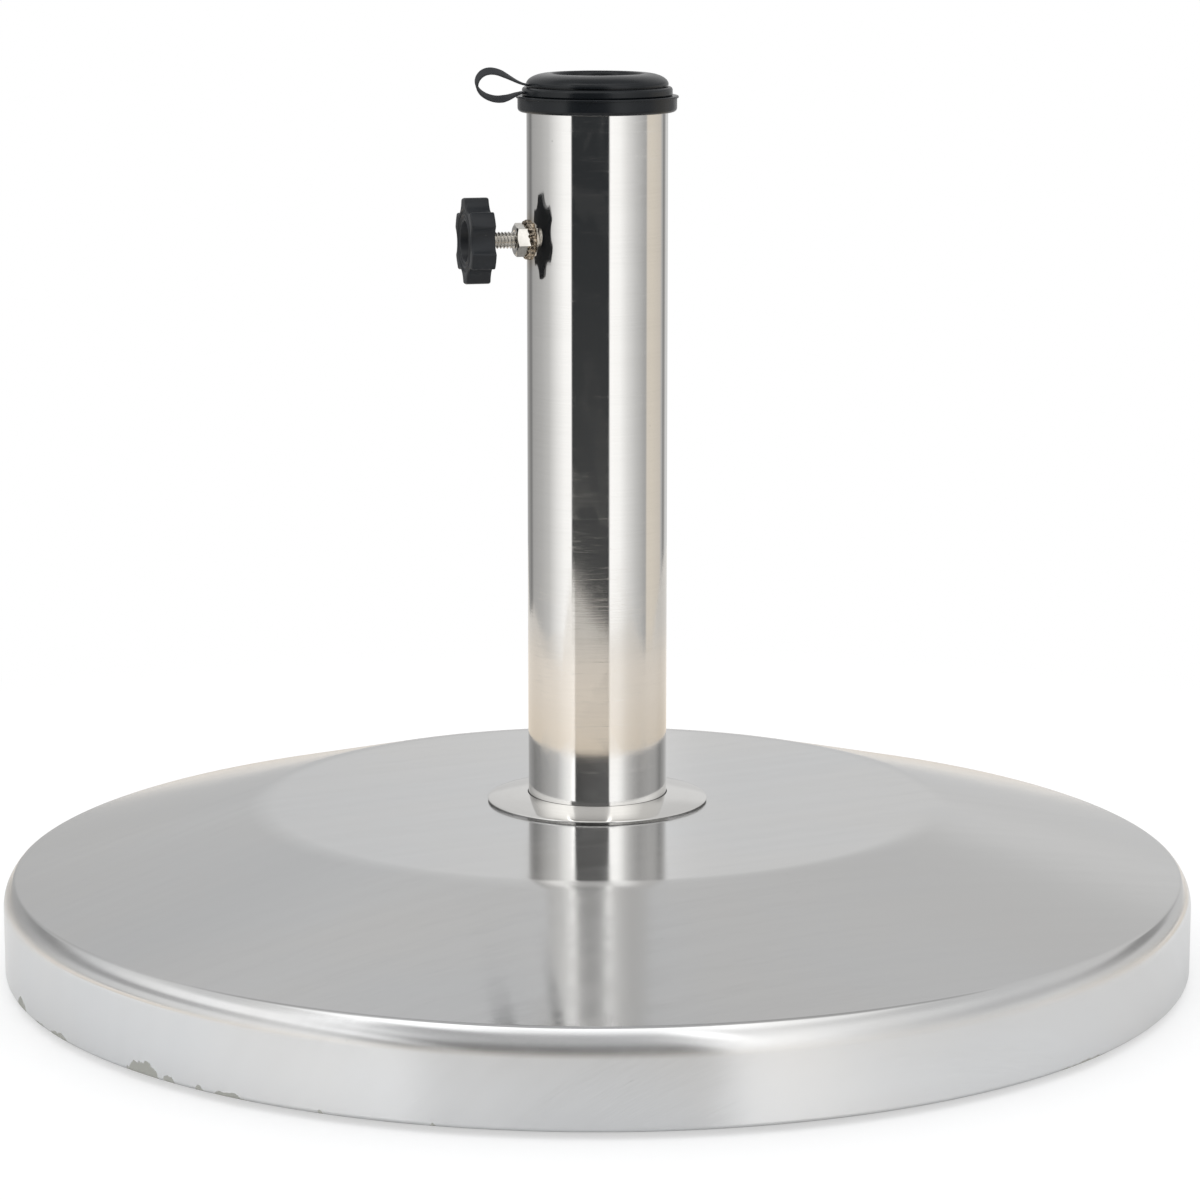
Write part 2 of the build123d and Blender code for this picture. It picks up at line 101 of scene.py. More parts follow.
def rounded(corners: Sequence[Corner], steps: int = 8, closed: bool = True, hold: float = 0.06) -> Array:
    """Outline through corners, each rounded by an arc of its own radius.

    At a corner whose edges meet at twice the angle h, an arc of radius q touches the edges
    q / tan(h) from the corner and has its centre q / sin(h) out on the bisector. Its points turn
    evenly from one touching point to the other, and one more point a little way along each
    edge keeps the flat beside it flat in shading.

    Args:
        corners: (across, up, radius) of each corner, in order.
        steps: steps in each arc.
        closed: whether the last corner joins the first. The ends of an open outline stay sharp.
        hold: how far the extra points are from the arc.

    Returns:
        Points of the outline, (count, 2).
    """
    points = np.array([corner[:2] for corner in corners], float)
    ends = () if closed else (0, len(points) - 1)
    share = np.linspace(0, 1, steps + 1)[:, None]
    stretches = []
    for index, (point, corner) in enumerate(zip(points, corners)):
        radius = corner[2]
        if radius == 0 or index in ends:
            stretches.append(point[None])
            continue
        back = unit(points[index - 1] - point)
        ahead = unit(points[(index + 1) % len(points)] - point)
        half = 0.5 * math.acos(float(np.clip(back @ ahead, -1, 1)))
        centre = point + unit(back + ahead) * radius / math.sin(half)
        start = point + back * radius / math.tan(half) - centre
        end = point + ahead * radius / math.tan(half) - centre
        sweep = math.pi - 2 * half
        arc = centre + (np.sin((1 - share) * sweep) * start + np.sin(share * sweep) * end) / math.sin(sweep)
        stretches += [arc[:1] + back * hold, arc, arc[-1:] + ahead * hold]
    return np.vstack(stretches)


def ellipse_arc(
    centre: tuple[float, float], across: float, up: float, start: float, end: float, steps: int
) -> Array:
    """Points centre + (across cos a, up sin a), with a from start to end in degrees."""
    turn = np.radians(np.linspace(start, end, steps + 1))
    return np.stack([centre[0] + across * np.cos(turn), centre[1] + up * np.sin(turn)], axis=1)


def thickened(line: Array, depth: float) -> Array:
    """Closed outline of a sheet: along the line, and back along its parallel `depth` to the right.

    The parallel is the line moved along its own normal, which is its local direction turned a
    quarter clockwise.
    """
    step = np.gradient(line, axis=0)
    right = np.stack([step[:, 1], -step[:, 0]], axis=1)
    right /= np.linalg.norm(right, axis=1, keepdims=True)
    return np.vstack([line, (line + depth * right)[::-1]])


def ring_angles(count: int, first: float = 0.0) -> Array:
    """Evenly spaced angles round a full turn, in radians, beginning at `first`."""
    return first + 2 * math.pi * np.arange(count) / count


def polar(radius: Array, height: Array, angles: Array) -> Array:
    """Grid of points (radius cos angle, radius sin angle, height), rows by angles.

    Args:
        radius: (rows, 1) or (rows, angles) distances from the axis.
        height: (rows, 1) or (rows, angles) heights.
        angles: (angles,) in radians.

    Returns:
        Points, (rows, angles, 3).
    """
    across = radius * np.cos(angles)
    aside = radius * np.sin(angles)
    return np.stack([across, aside, height + 0 * across], axis=-1)


def turned(outline: Array, count: int, first: float = 0.0) -> Array:
    """Grid of a solid of revolution: an outline of (radius, height) points turned about Z."""
    return polar(outline[:, :1], outline[:, 1:], ring_angles(count, first))


def hexagon_radius(angles: Array, flats: float, turn: float) -> Array:
    """Distance from a hexagon's middle to its side: half the flats over the cosine of the angle
    to the nearest flat's middle. `turn` is the direction of one flat's middle, in radians."""
    sixth = math.pi / 3
    away = (angles - turn + sixth / 2) % sixth - sixth / 2
    return 0.5 * flats / np.cos(away)


def waves(angles: Array, orders: Sequence[int], seed: int) -> Array:
    """Irregular closed wave between about -1 and 1: a sum of sines of whole-number orders, each
    with a phase and a strength drawn from a seeded generator."""
    draw = np.random.default_rng(seed)
    phases = draw.uniform(0, 2 * math.pi, len(orders))
    strengths = draw.uniform(0.5, 1.0, len(orders))
    total = sum(s * np.sin(n * angles + p) for n, p, s in zip(orders, phases, strengths))
    return total / strengths.sum()


@dataclass
class Shell:
    """Grids of points that become one mesh object."""

    points: list[Array] = field(default_factory=list)
    quads: list[Array] = field(default_factory=list)

    def add(self, grid: Array, close_rows: bool = False, close_columns: bool = True,
            keep: Array | None = None) -> "Shell":
        """Adds a grid of points and the quads between neighbouring points.

        Args:
            grid: points, (rows, columns, 3), in millimetres.
            close_rows: whether the last row joins the first.
            close_columns: whether the last column joins the first.
            keep: optional mask of the quads to keep, (quad rows, quad columns).

        Returns:
            The shell itself.
        """
        rows, columns = grid.shape[:2]
        index = np.arange(rows * columns).reshape(rows, columns) + sum(len(p) for p in self.points)
        if close_rows:
            index = np.vstack([index, index[:1]])
        if close_columns:
            index = np.hstack([index, index[:, :1]])
        quads = np.stack([index[:-1, :-1], index[:-1, 1:], index[1:, 1:], index[1:, :-1]], axis=-1)
        self.points.append(grid.reshape(-1, 3))
        self.quads.append(quads[keep] if keep is not None else quads.reshape(-1, 4))
        return self

    def make(self, name: str, sharp: float = 35.0) -> Piece:
        """Makes the mesh object: doubles merged, faces outward, smooth with sharp edges split.

        Args:
            name: the object's name.
            sharp: edges whose faces meet at more than this many degrees stay sharp.

        Returns:
            The new object, at the origin.
        """
        points = np.vstack(self.points) * MM
        quads = np.vstack(self.quads)
        mesh = bpy.data.meshes.new(name)
        mesh.vertices.add(len(points))
        mesh.vertices.foreach_set("co", points.ravel())
        mesh.loops.add(quads.size)
        mesh.loops.foreach_set("vertex_index", quads.ravel())
        mesh.polygons.add(len(quads))
        mesh.polygons.foreach_set("loop_start", np.arange(0, quads.size, 4))
        mesh.update(calc_edges=True)
        work = bmesh.new()
        work.from_mesh(mesh)
        bmesh.ops.remove_doubles(work, verts=work.verts, dist=MERGE)
        bmesh.ops.recalc_face_normals(work, faces=work.faces)
        work.to_mesh(mesh)
        work.free()
        mesh.polygons.foreach_set("use_smooth", np.ones(len(mesh.polygons), bool))
        mesh.set_sharp_from_angle(angle=math.radians(sharp))
        made = bpy.data.objects.new(name, mesh)
        bpy.context.scene.collection.objects.link(made)
        return made


# ---------------------------------------------------------------- node graphs


def opaque(colour: object) -> object:
    """An (r, g, b) tuple with its alpha added; a socket is returned as it is."""
    return (*colour, 1.0) if isinstance(colour, tuple) and len(colour) == 3 else colour


@dataclass
class Graph:
    """A node tree with short calls for the nodes that the finishes use."""

    tree: Tree

    def node(self, kind: str, **settings: object) -> Node:
        """A new node of that kind with the given properties."""
        made = self.tree.nodes.new(kind)
        for name, value in settings.items():
            setattr(made, name, value)
        return made

    def feed(self, socket: Socket, value: object) -> None:
        """Links a socket into `socket`, or sets its own value."""
        if isinstance(value, Socket):
            self.tree.links.new(value, socket)
        else:
            socket.default_value = value

    def fill(self, node: Node, values: dict[str, object]) -> Node:
        """Feeds a node's inputs by name, and gives the node back."""
        for name, value in values.items():
            self.feed(node.inputs[name], value)
        return node

    def math(self, operation: str, *values: object) -> Socket:
        """A Math node's result for one to three values."""
        made = self.node("ShaderNodeMath", operation=operation)
        for socket, value in zip(made.inputs, values):
            self.feed(socket, value)
        return made.outputs[0]

    def times(self, first: object, second: object) -> Socket:
        """The product of two values."""
        return self.math("MULTIPLY", first, second)

    def plus(self, first: object, second: object) -> Socket:
        """The sum of two values."""
        return self.math("ADD", first, second)

    def degrees(self, inverse: str, *values: object) -> Socket:
        """The angle, in degrees, that an inverse function such as ARCTAN2 gives."""
        return self.math("DEGREES", self.math(inverse, *values))

    def span(self, value: object, low: float, high: float, start: float = 0.0, end: float = 1.0) -> Socket:
        """A value carried smoothly from low..high to start..end."""
        made = self.node("ShaderNodeMapRange", interpolation_type="SMOOTHSTEP")
        self.fill(made, {"Value": value, "From Min": low, "From Max": high, "To Min": start, "To Max": end})
        return made.outputs["Result"]

    def mix(self, factor: object, base: object, top: object) -> Socket:
        """One colour laid over another by a factor."""
        made = self.node("ShaderNodeMix", data_type="RGBA")
        self.fill(made, {"Factor": factor, "A": opaque(base), "B": opaque(top)})
        return made.outputs["Result"]

    def layered(self, base: object, *coats: tuple[Socket, float, Colour]) -> object:
        """A colour with coats laid over it in turn.

        Args:
            base: the colour underneath.
            coats: the mask, the share of it that shows, and the colour of each coat.

        Returns:
            The last coat's colour socket.
        """
        for mask, share, colour in coats:
            base = self.mix(self.times(mask, share), base, colour)
        return base

    def place(self, stretch: Corner = (1, 1, 1), shift: Corner = (0, 0, 0), turn: float = 0.0) -> Socket:
        """The piece's Object coordinates, shifted, turned about Z by degrees and stretched."""
        made = self.fill(self.node("ShaderNodeMapping"), {
            "Vector": self.node("ShaderNodeTexCoord").outputs["Object"],
            "Location": shift, "Rotation": (0, 0, math.radians(turn)), "Scale": stretch,
        })
        return made.outputs["Vector"]

    def apart(self, vector: Socket) -> Sequence[Socket]:
        """The X, Y and Z of a vector."""
        made = self.node("ShaderNodeSeparateXYZ")
        self.feed(made.inputs[0], vector)
        return made.outputs

    def noise(self, vector: Socket, scale: object, **values: float) -> Socket:
        """A noise texture's value."""
        made = self.node("ShaderNodeTexNoise")
        return self.fill(made, {"Vector": vector, "Scale": scale, **values}).outputs[0]

    def group(self, tree: Tree, vector: Socket | None = None, **numbers: float) -> Socket:
        """Places a shared effect.

        Args:
            tree: the effect's node group.
            vector: where the pattern lies, or None for the piece's Object coordinates.
            numbers: the group's inputs, by name.

        Returns:
            The group's value.
        """
        made = self.node("ShaderNodeGroup", node_tree=tree)
        return self.fill(made, {"Vector": self.place() if vector is None else vector, **numbers}).outputs[0]

    def bump(self, height: object, strength: float, distance: float) -> Socket:
        """A normal bumped by a height; `distance` is the height's full swing in metres."""
        made = self.node("ShaderNodeBump")
        self.fill(made, {"Strength": strength, "Distance": distance, "Height": height})
        return made.outputs["Normal"]


def new_group(name: str, numbers: dict[str, float]) -> tuple[Graph, Sequence[Socket], Socket]:
    """An empty shader group with a Vector input, number inputs and one Value output.

    Args:
        name: the group's name.
        numbers: input names and their default values.

    Returns:
        The group's graph, what it is given, and the socket that its result goes into.
    """
    tree = bpy.data.node_groups.new(name, "ShaderNodeTree")
    tree.interface.new_socket("Vector", in_out="INPUT", socket_type="NodeSocketVector")
    for label, value in numbers.items():
        tree.interface.new_socket(label, in_out="INPUT", socket_type="NodeSocketFloat").default_value = value
    tree.interface.new_socket("Value", in_out="OUTPUT", socket_type="NodeSocketFloat")
    graph = Graph(tree)
    return graph, graph.node("NodeGroupInput").outputs, graph.node("NodeGroupOutput").inputs["Value"]


@dataclass(frozen=True)
class Effects:
    """The shader groups that several finishes share."""

    patches: Tree
    lines: Tree
    specks: Tree
    pebble: Tree

    @classmethod
    def build(cls) -> "Effects":
        """Builds all the groups once."""
        return cls(cls.build_patches(), cls.build_lines(), cls.build_specks(), cls.build_pebble())

    @staticmethod
    def build_patches() -> Tree:
        """Slow, cloudy change of tone: soft noise carried to 0..1 about its middle."""
        graph, given, result = new_group("tone_patches", {"Scale": 12.0})
        cloud = graph.noise(given["Vector"], given["Scale"], Detail=4.0, Distortion=0.6)
        graph.feed(result, graph.span(cloud, 0.3, 0.7))
        return graph.tree

    @staticmethod
    def build_lines() -> Tree:
        """Brush lines: fine noise on coordinates already stretched along the lines, gated by a
        coarser noise so that the lines come and go."""
        graph, given, result = new_group("brush_lines", {"Scale": 600.0, "Gate": 40.0})
        fine = graph.noise(given["Vector"], given["Scale"], Detail=3.0, Roughness=0.7)
        coarse = graph.noise(given["Vector"], given["Gate"], Detail=1.0)
        gate = graph.span(coarse, 0.35, 0.65, 0.35, 1.0)
        graph.feed(result, graph.times(graph.span(fine, 0.25, 0.75), gate))
        return graph.tree

    @staticmethod
    def build_specks() -> Tree:
        """Sparse round specks: 1 inside `Size` of a random share of scattered points, else 0."""
        graph, given, result = new_group("specks", {"Scale": 300.0, "Size": 0.12, "Share": 0.3})
        cells = graph.node("ShaderNodeTexVoronoi")
        graph.fill(cells, {"Vector": given["Vector"], "Scale": given["Scale"]})
        near = graph.math("LESS_THAN", cells.outputs["Distance"], given["Size"])
        draw = graph.fill(graph.node("ShaderNodeSeparateColor"), {"Color": cells.outputs["Color"]})
        chosen = graph.math("LESS_THAN", draw.outputs["Red"], given["Share"])
        graph.feed(result, graph.times(near, chosen))
        return graph.tree

    @staticmethod
    def build_pebble() -> Tree:
        """Fine even texture of a moulded or cast skin: two noises of different fineness."""
        graph, given, result = new_group("moulded_skin", {"Scale": 900.0})
        fine = graph.noise(given["Vector"], given["Scale"], Detail=2.0)
        broad = graph.noise(given["Vector"], graph.times(given["Scale"], 0.28), Detail=2.0)
        graph.feed(result, graph.plus(fine, broad))
        return graph.tree


def new_material(name: str) -> tuple[Material, Graph, Node]:
    """A material with one Principled shader.

    Args:
        name: the material's name.

    Returns:
        The material, its graph and its Principled node.
    """
    material = bpy.data.materials.new(name)
    material.use_nodes = True
    return material, Graph(material.node_tree), material.node_tree.nodes["Principled BSDF"]


# ---------------------------------------------------------------- finishes


@dataclass(frozen=True)
class CoverSteel:
    """Satin stainless sheet of the disc: fine straight brushing, faint warm and cool patches,
    and dried cement where the concrete was poured."""

    name: str = "cover_steel"
    tone: Colour = (0.66, 0.665, 0.67)
    warm: Colour = (0.68, 0.665, 0.645)
    line_tone: Colour = (0.5, 0.5, 0.5)
    speck_tone: Colour = (0.3, 0.3, 0.29)
    cement: Colour = (0.36, 0.36, 0.33)
    cement_roughness: float = 0.85
    roughness: float = 0.09
    line_haze: float = 0.03
    # the drawn rim and skirt are duller: where that starts, where it is full, the roughness there
    drawn: tuple[float, float, float] = (38.0, 33.0, 0.20)
    brushing: float = 1.0
    groove: float = 0.008
    line_ratio: float = 24.0
    # each smear on the skirt's foot: direction in degrees, half its width, its height
    smears: tuple[tuple[float, float, float], ...] = (
        (-172.5, 1.6, 7.5), (-167.0, 2.2, 4.0), (-162.0, 2.2, 5.2), (-148.2, 2.5, 7.5), (-144.8, 0.9, 5.4),
        (-141.0, 0.7, 4.6), (-137.5, 2.6, 4.4), (-128.3, 0.4, 4.0), (-118.0, 0.4, 4.0), (-54.5, 6.3, 3.6),
    )
    # how ragged a smear is, and between which sums of squares its edge fades
    ragged: float = 0.5
    fade: tuple[float, float] = (1.3, 1.15)

    def build(self, effects: Effects) -> Material:
        """Makes the material from the shared effects."""
        material, graph, shader = new_material(self.name)
        sheet = graph.fill(graph.node("ShaderNodeMapping"), {
            "Vector": graph.node("ShaderNodeUVMap", uv_map=GRAIN).outputs[0],
            "Scale": (self.line_ratio, 1, 1),
        })
        brushed = graph.group(effects.lines, sheet.outputs[0], Scale=66.0, Gate=6.0)
        patches = graph.group(effects.patches, Scale=9.0)
        specks = graph.group(effects.specks, Scale=160.0, Size=0.05, Share=0.12)
        smeared = self.smear_mask(graph, effects)
        start, full, drawn = self.drawn
        dull = graph.span(graph.apart(graph.place())[2], start * MM, full * MM, self.roughness, drawn)
        satin = graph.plus(graph.times(brushed, self.line_haze), dull)
        height = graph.plus(graph.times(brushed, 0.5), smeared)
        graph.fill(shader, {
            "Base Color": graph.layered(
                self.tone, (patches, 0.5, self.warm), (brushed, 0.10, self.line_tone),
                (specks, 0.35, self.speck_tone), (smeared, 1.0, self.cement),
            ),
            "Metallic": graph.math("SUBTRACT", 1.0, smeared),
            "Roughness": graph.math("MAXIMUM", satin, graph.times(smeared, self.cement_roughness)),
            "Normal": graph.bump(height, 1.0, self.groove * MM),
            "Anisotropic": self.brushing,
            "Tangent": graph.node("ShaderNodeTangent", direction_type="UV_MAP", uv_map=GRAIN).outputs[0],
        })
        return material

    def smear_mask(self, graph: Graph, effects: Effects) -> object:
        """Where cement is left on the skirt's foot: for each smear the square of (direction over
        half width) plus the square of (height over its height) is about one, its edge ragged.

        Args:
            graph: the cover's node graph.
            effects: the shared effects.

        Returns:
            The mask's socket.
        """
        across, aside, up = graph.apart(graph.place())
        direction = graph.degrees("ARCTAN2", aside, across)
        height = graph.times(up, 1 / MM)
        ragged = graph.times(graph.group(effects.patches, Scale=210.0), self.ragged)
        covered: object = 0.0
        for middle, half_width, top in self.smears:
            beside = graph.math("DIVIDE", graph.math("SUBTRACT", direction, middle), half_width)
            above = graph.math("DIVIDE", height, top)
            edge = graph.plus(graph.plus(graph.times(beside, beside), graph.times(above, above)), ragged)
            covered = graph.math("MAXIMUM", covered, graph.span(edge, *self.fade))
        return covered


@dataclass(frozen=True)
class TubeSteel:
    """Polished stainless tube: faint lines round it, a few pits, and straw-coloured heat tint
    round the welded nut."""

    name: str = "tube_steel"
    tone: Colour = (0.80, 0.79, 0.77)
    patch_tone: Colour = (0.76, 0.745, 0.72)
    line_tone: Colour = (0.45, 0.44, 0.42)
    pit_tone: Colour = (0.25, 0.24, 0.22)
    tint: Colour = (0.55, 0.42, 0.26)
    roughness: float = 0.05
    line_haze: float = 0.03
    smudge: float = 0.03
    scratch_haze: float = 0.07
    turning: float = 0.8
    groove: float = 0.0025
    weld_at: Corner = (-26.2, 0.0, 275.7)
    tint_reach: float = 13.0

    def build(self, effects: Effects) -> Material:
        """Makes the material from the shared effects."""
        material, graph, shader = new_material(self.name)
        lines = graph.group(effects.lines, graph.place((2, 2, 90)), Scale=22.0, Gate=1.2)
        patches = graph.group(effects.patches, graph.place((1, 1, 0.5)), Scale=30.0)
        pits = graph.group(effects.specks, Scale=140.0, Size=0.045, Share=0.1)
        away = graph.node("ShaderNodeVectorMath", operation="DISTANCE")
        graph.feed(away.inputs[0], graph.place())
        away.inputs[1].default_value = [v * MM for v in self.weld_at]
        heat = graph.span(away.outputs["Value"], self.tint_reach * MM, 0.5 * self.tint_reach * MM)
        rubbed = graph.group(effects.lines, graph.place((9, 9, 150), turn=7.0), Scale=14.0, Gate=2.5)
        scratched = graph.span(rubbed, 0.55, 1.0, 0.0, self.scratch_haze)
        fingered = graph.group(effects.patches, graph.place((1, 1, 0.6), (0.3, 0.1, 0.2)), Scale=75.0)
        smudged = graph.span(fingered, 0.52, 0.85, 0.0, self.smudge)
        polish = graph.math("MULTIPLY_ADD", lines, self.line_haze, self.roughness)
        height = graph.math("SUBTRACT", graph.times(lines, 0.5), pits)
        graph.fill(shader, {
            "Base Color": graph.layered(
                self.tone, (patches, 0.3, self.patch_tone), (lines, 0.10, self.line_tone),
                (heat, 0.45, self.tint), (pits, 0.6, self.pit_tone),
            ),
            "Metallic": 1.0,
            "Roughness": graph.plus(polish, graph.plus(scratched, smudged)),
            "Normal": graph.bump(height, 1.0, self.groove * MM),
            "Anisotropic": self.turning,
            "Anisotropic Rotation": 0.25,
        })
        return material


@dataclass(frozen=True)
class PlainMetal:
    """Machined, plated or rolled steel of the small hardware."""

    name: str
    tone: Colour
    stain: Colour
    roughness: float
    stain_share: float = 0.35
    grain: float = 500.0
    skin_depth: float = 0.00005

    def build(self, effects: Effects) -> Material:
        """Makes the material from the shared effects."""
        material, graph, shader = new_material(self.name)
        stain = graph.group(effects.patches, Scale=self.grain * 0.35)
        skin = graph.group(effects.pebble, Scale=self.grain * 3)
        specks = graph.group(effects.specks, Scale=self.grain, Size=0.16, Share=0.2)
        graph.fill(shader, {
            "Base Color": graph.layered(
                self.tone, (stain, self.stain_share, self.stain), (specks, 0.5, self.stain)
            ),
            "Metallic": 1.0,
            "Roughness": graph.math("MULTIPLY_ADD", stain, 0.12, self.roughness),
            "Normal": graph.bump(skin, 0.2, self.skin_depth),
        })
        return material


@dataclass(frozen=True)
class MouldedPlastic:
    """Moulded plastic or rubber: fine skin, cloudy sheen, pale dust specks."""

    name: str
    tone: Colour
    worn: Colour
    roughness: float
    shine: float = 0.5
    skin: float = 1400.0
    skin_depth: float = 0.00002
    dust: float = 0.25
    dust_tone: Colour = (0.35, 0.35, 0.34)

    def build(self, effects: Effects) -> Material:
        """Makes the material from the shared effects."""
        material, graph, shader = new_material(self.name)
        cloud = graph.group(effects.patches, Scale=55.0)
        skin = graph.group(effects.pebble, Scale=self.skin)
        specks = graph.group(effects.specks, Scale=420.0, Size=0.07, Share=0.10)
        graph.fill(shader, {
            "Base Color": graph.layered(
                self.tone, (cloud, 0.6, self.worn), (specks, self.dust, self.dust_tone)
            ),
            "Roughness": graph.math("MULTIPLY_ADD", cloud, 0.10, self.roughness),
            "Specular IOR Level": self.shine,
            "Normal": graph.bump(skin, 0.35, self.skin_depth),
        })
        return material


@dataclass(frozen=True)
class CastConcrete:
    """Grey concrete: sand and small stones, air holes, damp patches."""

    name: str = "concrete"
    tone: Colour = (0.50, 0.49, 0.46)
    damp: Colour = (0.36, 0.355, 0.335)
    stone: Colour = (0.6, 0.57, 0.51)
    sand: Colour = (0.2, 0.2, 0.19)
    hole: Colour = (0.12, 0.12, 0.11)
    relief: float = 0.0006

    def build(self, effects: Effects) -> Material:
        """Makes the material from the shared effects."""
        material, graph, shader = new_material(self.name)
        damp = graph.group(effects.patches, Scale=14.0)
        sand = graph.group(effects.pebble, Scale=700.0)
        stones = graph.group(effects.specks, Scale=110.0, Size=0.35, Share=0.35)
        aside = graph.place(shift=(0.03, 0.01, 0))
        holes = graph.group(effects.specks, aside, Scale=150.0, Size=0.22, Share=0.25)
        height = graph.math("SUBTRACT", graph.times(sand, 0.3), holes)
        graph.fill(shader, {
            "Base Color": graph.layered(
                self.tone, (damp, 1.0, self.damp), (stones, 0.35, self.stone),
                (sand, 0.18, self.sand), (holes, 0.8, self.hole),
            ),
            "Roughness": 0.9,
            "Normal": graph.bump(height, 0.6, self.relief),
        })
        return material


# ---------------------------------------------------------------- the pieces


def ends(node: str) -> tuple[float, float]:
    """Heights of a CAD node's lowest and highest points."""
    low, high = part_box(node)
    return low.z / MM, high.z / MM


def clamp_height() -> float:
    """Height of the clamp's axis, from the clamp screw's box."""
    low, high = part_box("clamp_screw")
    return (low.z + high.z) / 2 / MM


def boxy(values: Array, power: float) -> Array:
    """Values from -1 to 1 raised to a power below one, signs kept, which squares off a circle."""
    return np.sign(values) * np.abs(values) ** power


def from_rows(rows: Sequence[tuple[object, object]], angles: Array) -> Array:
    """Grid round Z from rows of (radius, height), each a number or an array by angles."""
    radius, height = (np.stack([0 * angles + value for value in part]) for part in zip(*rows))
    return polar(radius, height, angles)


@dataclass
class Workshop:
    """The finishes by their slot, and the ways in which a piece gets one."""

    finishes: dict[str, Material]

    def dress(self, piece: Piece, slot: str) -> Piece:
        """Gives a piece the finish of a material slot, and gives the piece back."""
        piece.data.materials.clear()
        piece.data.materials.append(self.finishes[slot])
        return piece

    def hang(self, piece: Piece, slot: str, body: Body, node: str) -> None:
        """Dresses a new piece, hangs it on its body and lets it stand for a CAD node."""
        self.dress(piece, slot)
        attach(piece, body.value)
        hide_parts(node)
        log.info("%s: %d faces on %s", piece.name, len(piece.data.polygons), body.value)

    def keep(self, node: str, slot: str) -> None:
        """Leaves a CAD node's shape as it is and gives it its finish."""
        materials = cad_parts[node].data.materials
        for index in range(len(materials)):
            materials[index] = self.finishes[slot]
        if not len(materials):
            materials.append(self.finishes[slot])
        log.info("%s: CAD shape kept", node)


@dataclass(frozen=True)
class Disc:
    """The round foot: pressed cover, concrete core and rubber pads."""

    radius: float = 225.0
    foot: float = 2.5
    sheet: float = 0.7
    plateau: float = 61.8
    crease_radius: float = 128.0
    shoulder: float = 36.5
    crease_bend: float = 40.0
    rim_edge: float = 221.0
    rim_edge_bend: float = 2.5
    rim_lean: float = 50.0
    rim_bend: float = 14.2
    hem_bend: float = 1.5
    hem: float = 4.0
    hole: float = 6.75
    columns: int = 384
    grain_turn: float = 14.0
    pads: int = 4
    pad_bevel: float = 1.0
    # the grooves under a pad: where they lie as shares of its radius, and each one's section
    groove_rings: tuple[float, ...] = (0.72, 0.38)
    groove: tuple[tuple[float, float], ...] = ((1.2, 0.0), (0.8, 0.5), (-0.8, 0.5), (-1.2, 0.0))
    groove_bend: float = 0.2

    def build(self, shop: Workshop) -> None:
        """Builds and dresses every piece of the disc."""
        shop.hang(self.cover(), "cover_steel", Body.BASE, "steel_cover")
        shop.keep("concrete_core", "concrete")
        for number in range(1, self.pads + 1):
            node = f"foot_pad_{number}"
            shop.hang(self.pad(node), "pad_rubber", Body.BASE, node)

    def cover(self) -> Piece:
        """Pressed cover: the sheet's outline turned about the axis.

        The cone falls evenly from the crease towards the shoulder. A short way before the side it
        bends sharply to the rim's lean, and from there a wide bend leads into the skirt.
        """
        fall = (self.plateau - self.shoulder) / (self.radius - self.crease_radius)
        edge = self.plateau - fall * (self.rim_edge - self.crease_radius)
        side = edge - math.tan(math.radians(self.rim_lean)) * (self.radius - self.rim_edge)
        line = rounded(
            [
                (self.hole, self.plateau, 0), (self.crease_radius, self.plateau, self.crease_bend),
                (self.rim_edge, edge, self.rim_edge_bend), (self.radius, side, self.rim_bend),
                (self.radius, self.foot, self.hem_bend), (self.radius - self.hem, self.foot, 0),
            ],
            steps=20, closed=False,
        )
        grid = turned(thickened(line, self.sheet), self.columns)
        cover = Shell().add(grid, close_rows=True).make("disc_cover")
        self.lay_grain(cover.data)
        return cover

    def lay_grain(self, mesh: bpy.types.Mesh) -> None:
        """Gives the cover a UV map of the flat sheet it was pressed from, U across the brush lines.

        A point's distance from the middle of the sheet is nearly its distance from the axis plus
        how far it is below the plateau, so its place seen from above is stretched by one plus the
        second over the first, and then turned until U is at right angles to the lines.
        """
        points = np.empty(3 * len(mesh.vertices))
        mesh.vertices.foreach_get("co", points)
        points = points.reshape(-1, 3)
        corners = np.empty(len(mesh.loops), int)
        mesh.loops.foreach_get("vertex_index", corners)
        away = np.linalg.norm(points[:, :2], axis=1)
        flat = points[:, :2] * (1 + (self.plateau * MM - points[:, 2]) / away)[:, None]
        turn = math.radians(self.grain_turn)
        across = flat @ [-math.sin(turn), math.cos(turn)]
        along = flat @ [-math.cos(turn), -math.sin(turn)]
        layer = mesh.uv_layers.new(name=GRAIN)
        layer.data.foreach_set("uv", np.stack([across, along], axis=1)[corners].ravel())

    def pad(self, node: str) -> Piece:
        """Rubber pad: bevelled disc with two shallow grooves turned into its underside."""
        low, high = (np.array(corner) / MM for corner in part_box(node))
        middle = (low + high) / 2
        radius = (high[0] - low[0]) / 2
        corners: list[Corner] = [(0, high[2], 0), (radius, high[2], 0), (radius, low[2], self.pad_bevel)]
        corners += [(share * radius + aside, low[2] + up, self.groove_bend)
                    for share in self.groove_rings for aside, up in self.groove]
        outline = rounded([*corners, (0, low[2], 0)], steps=3, closed=False)
        outline[:, 0] = np.maximum(outline[:, 0], 0)
        grid = turned(outline, 72) + np.array([middle[0], middle[1], 0])
        return Shell().add(grid).make(f"rubber_{node}")


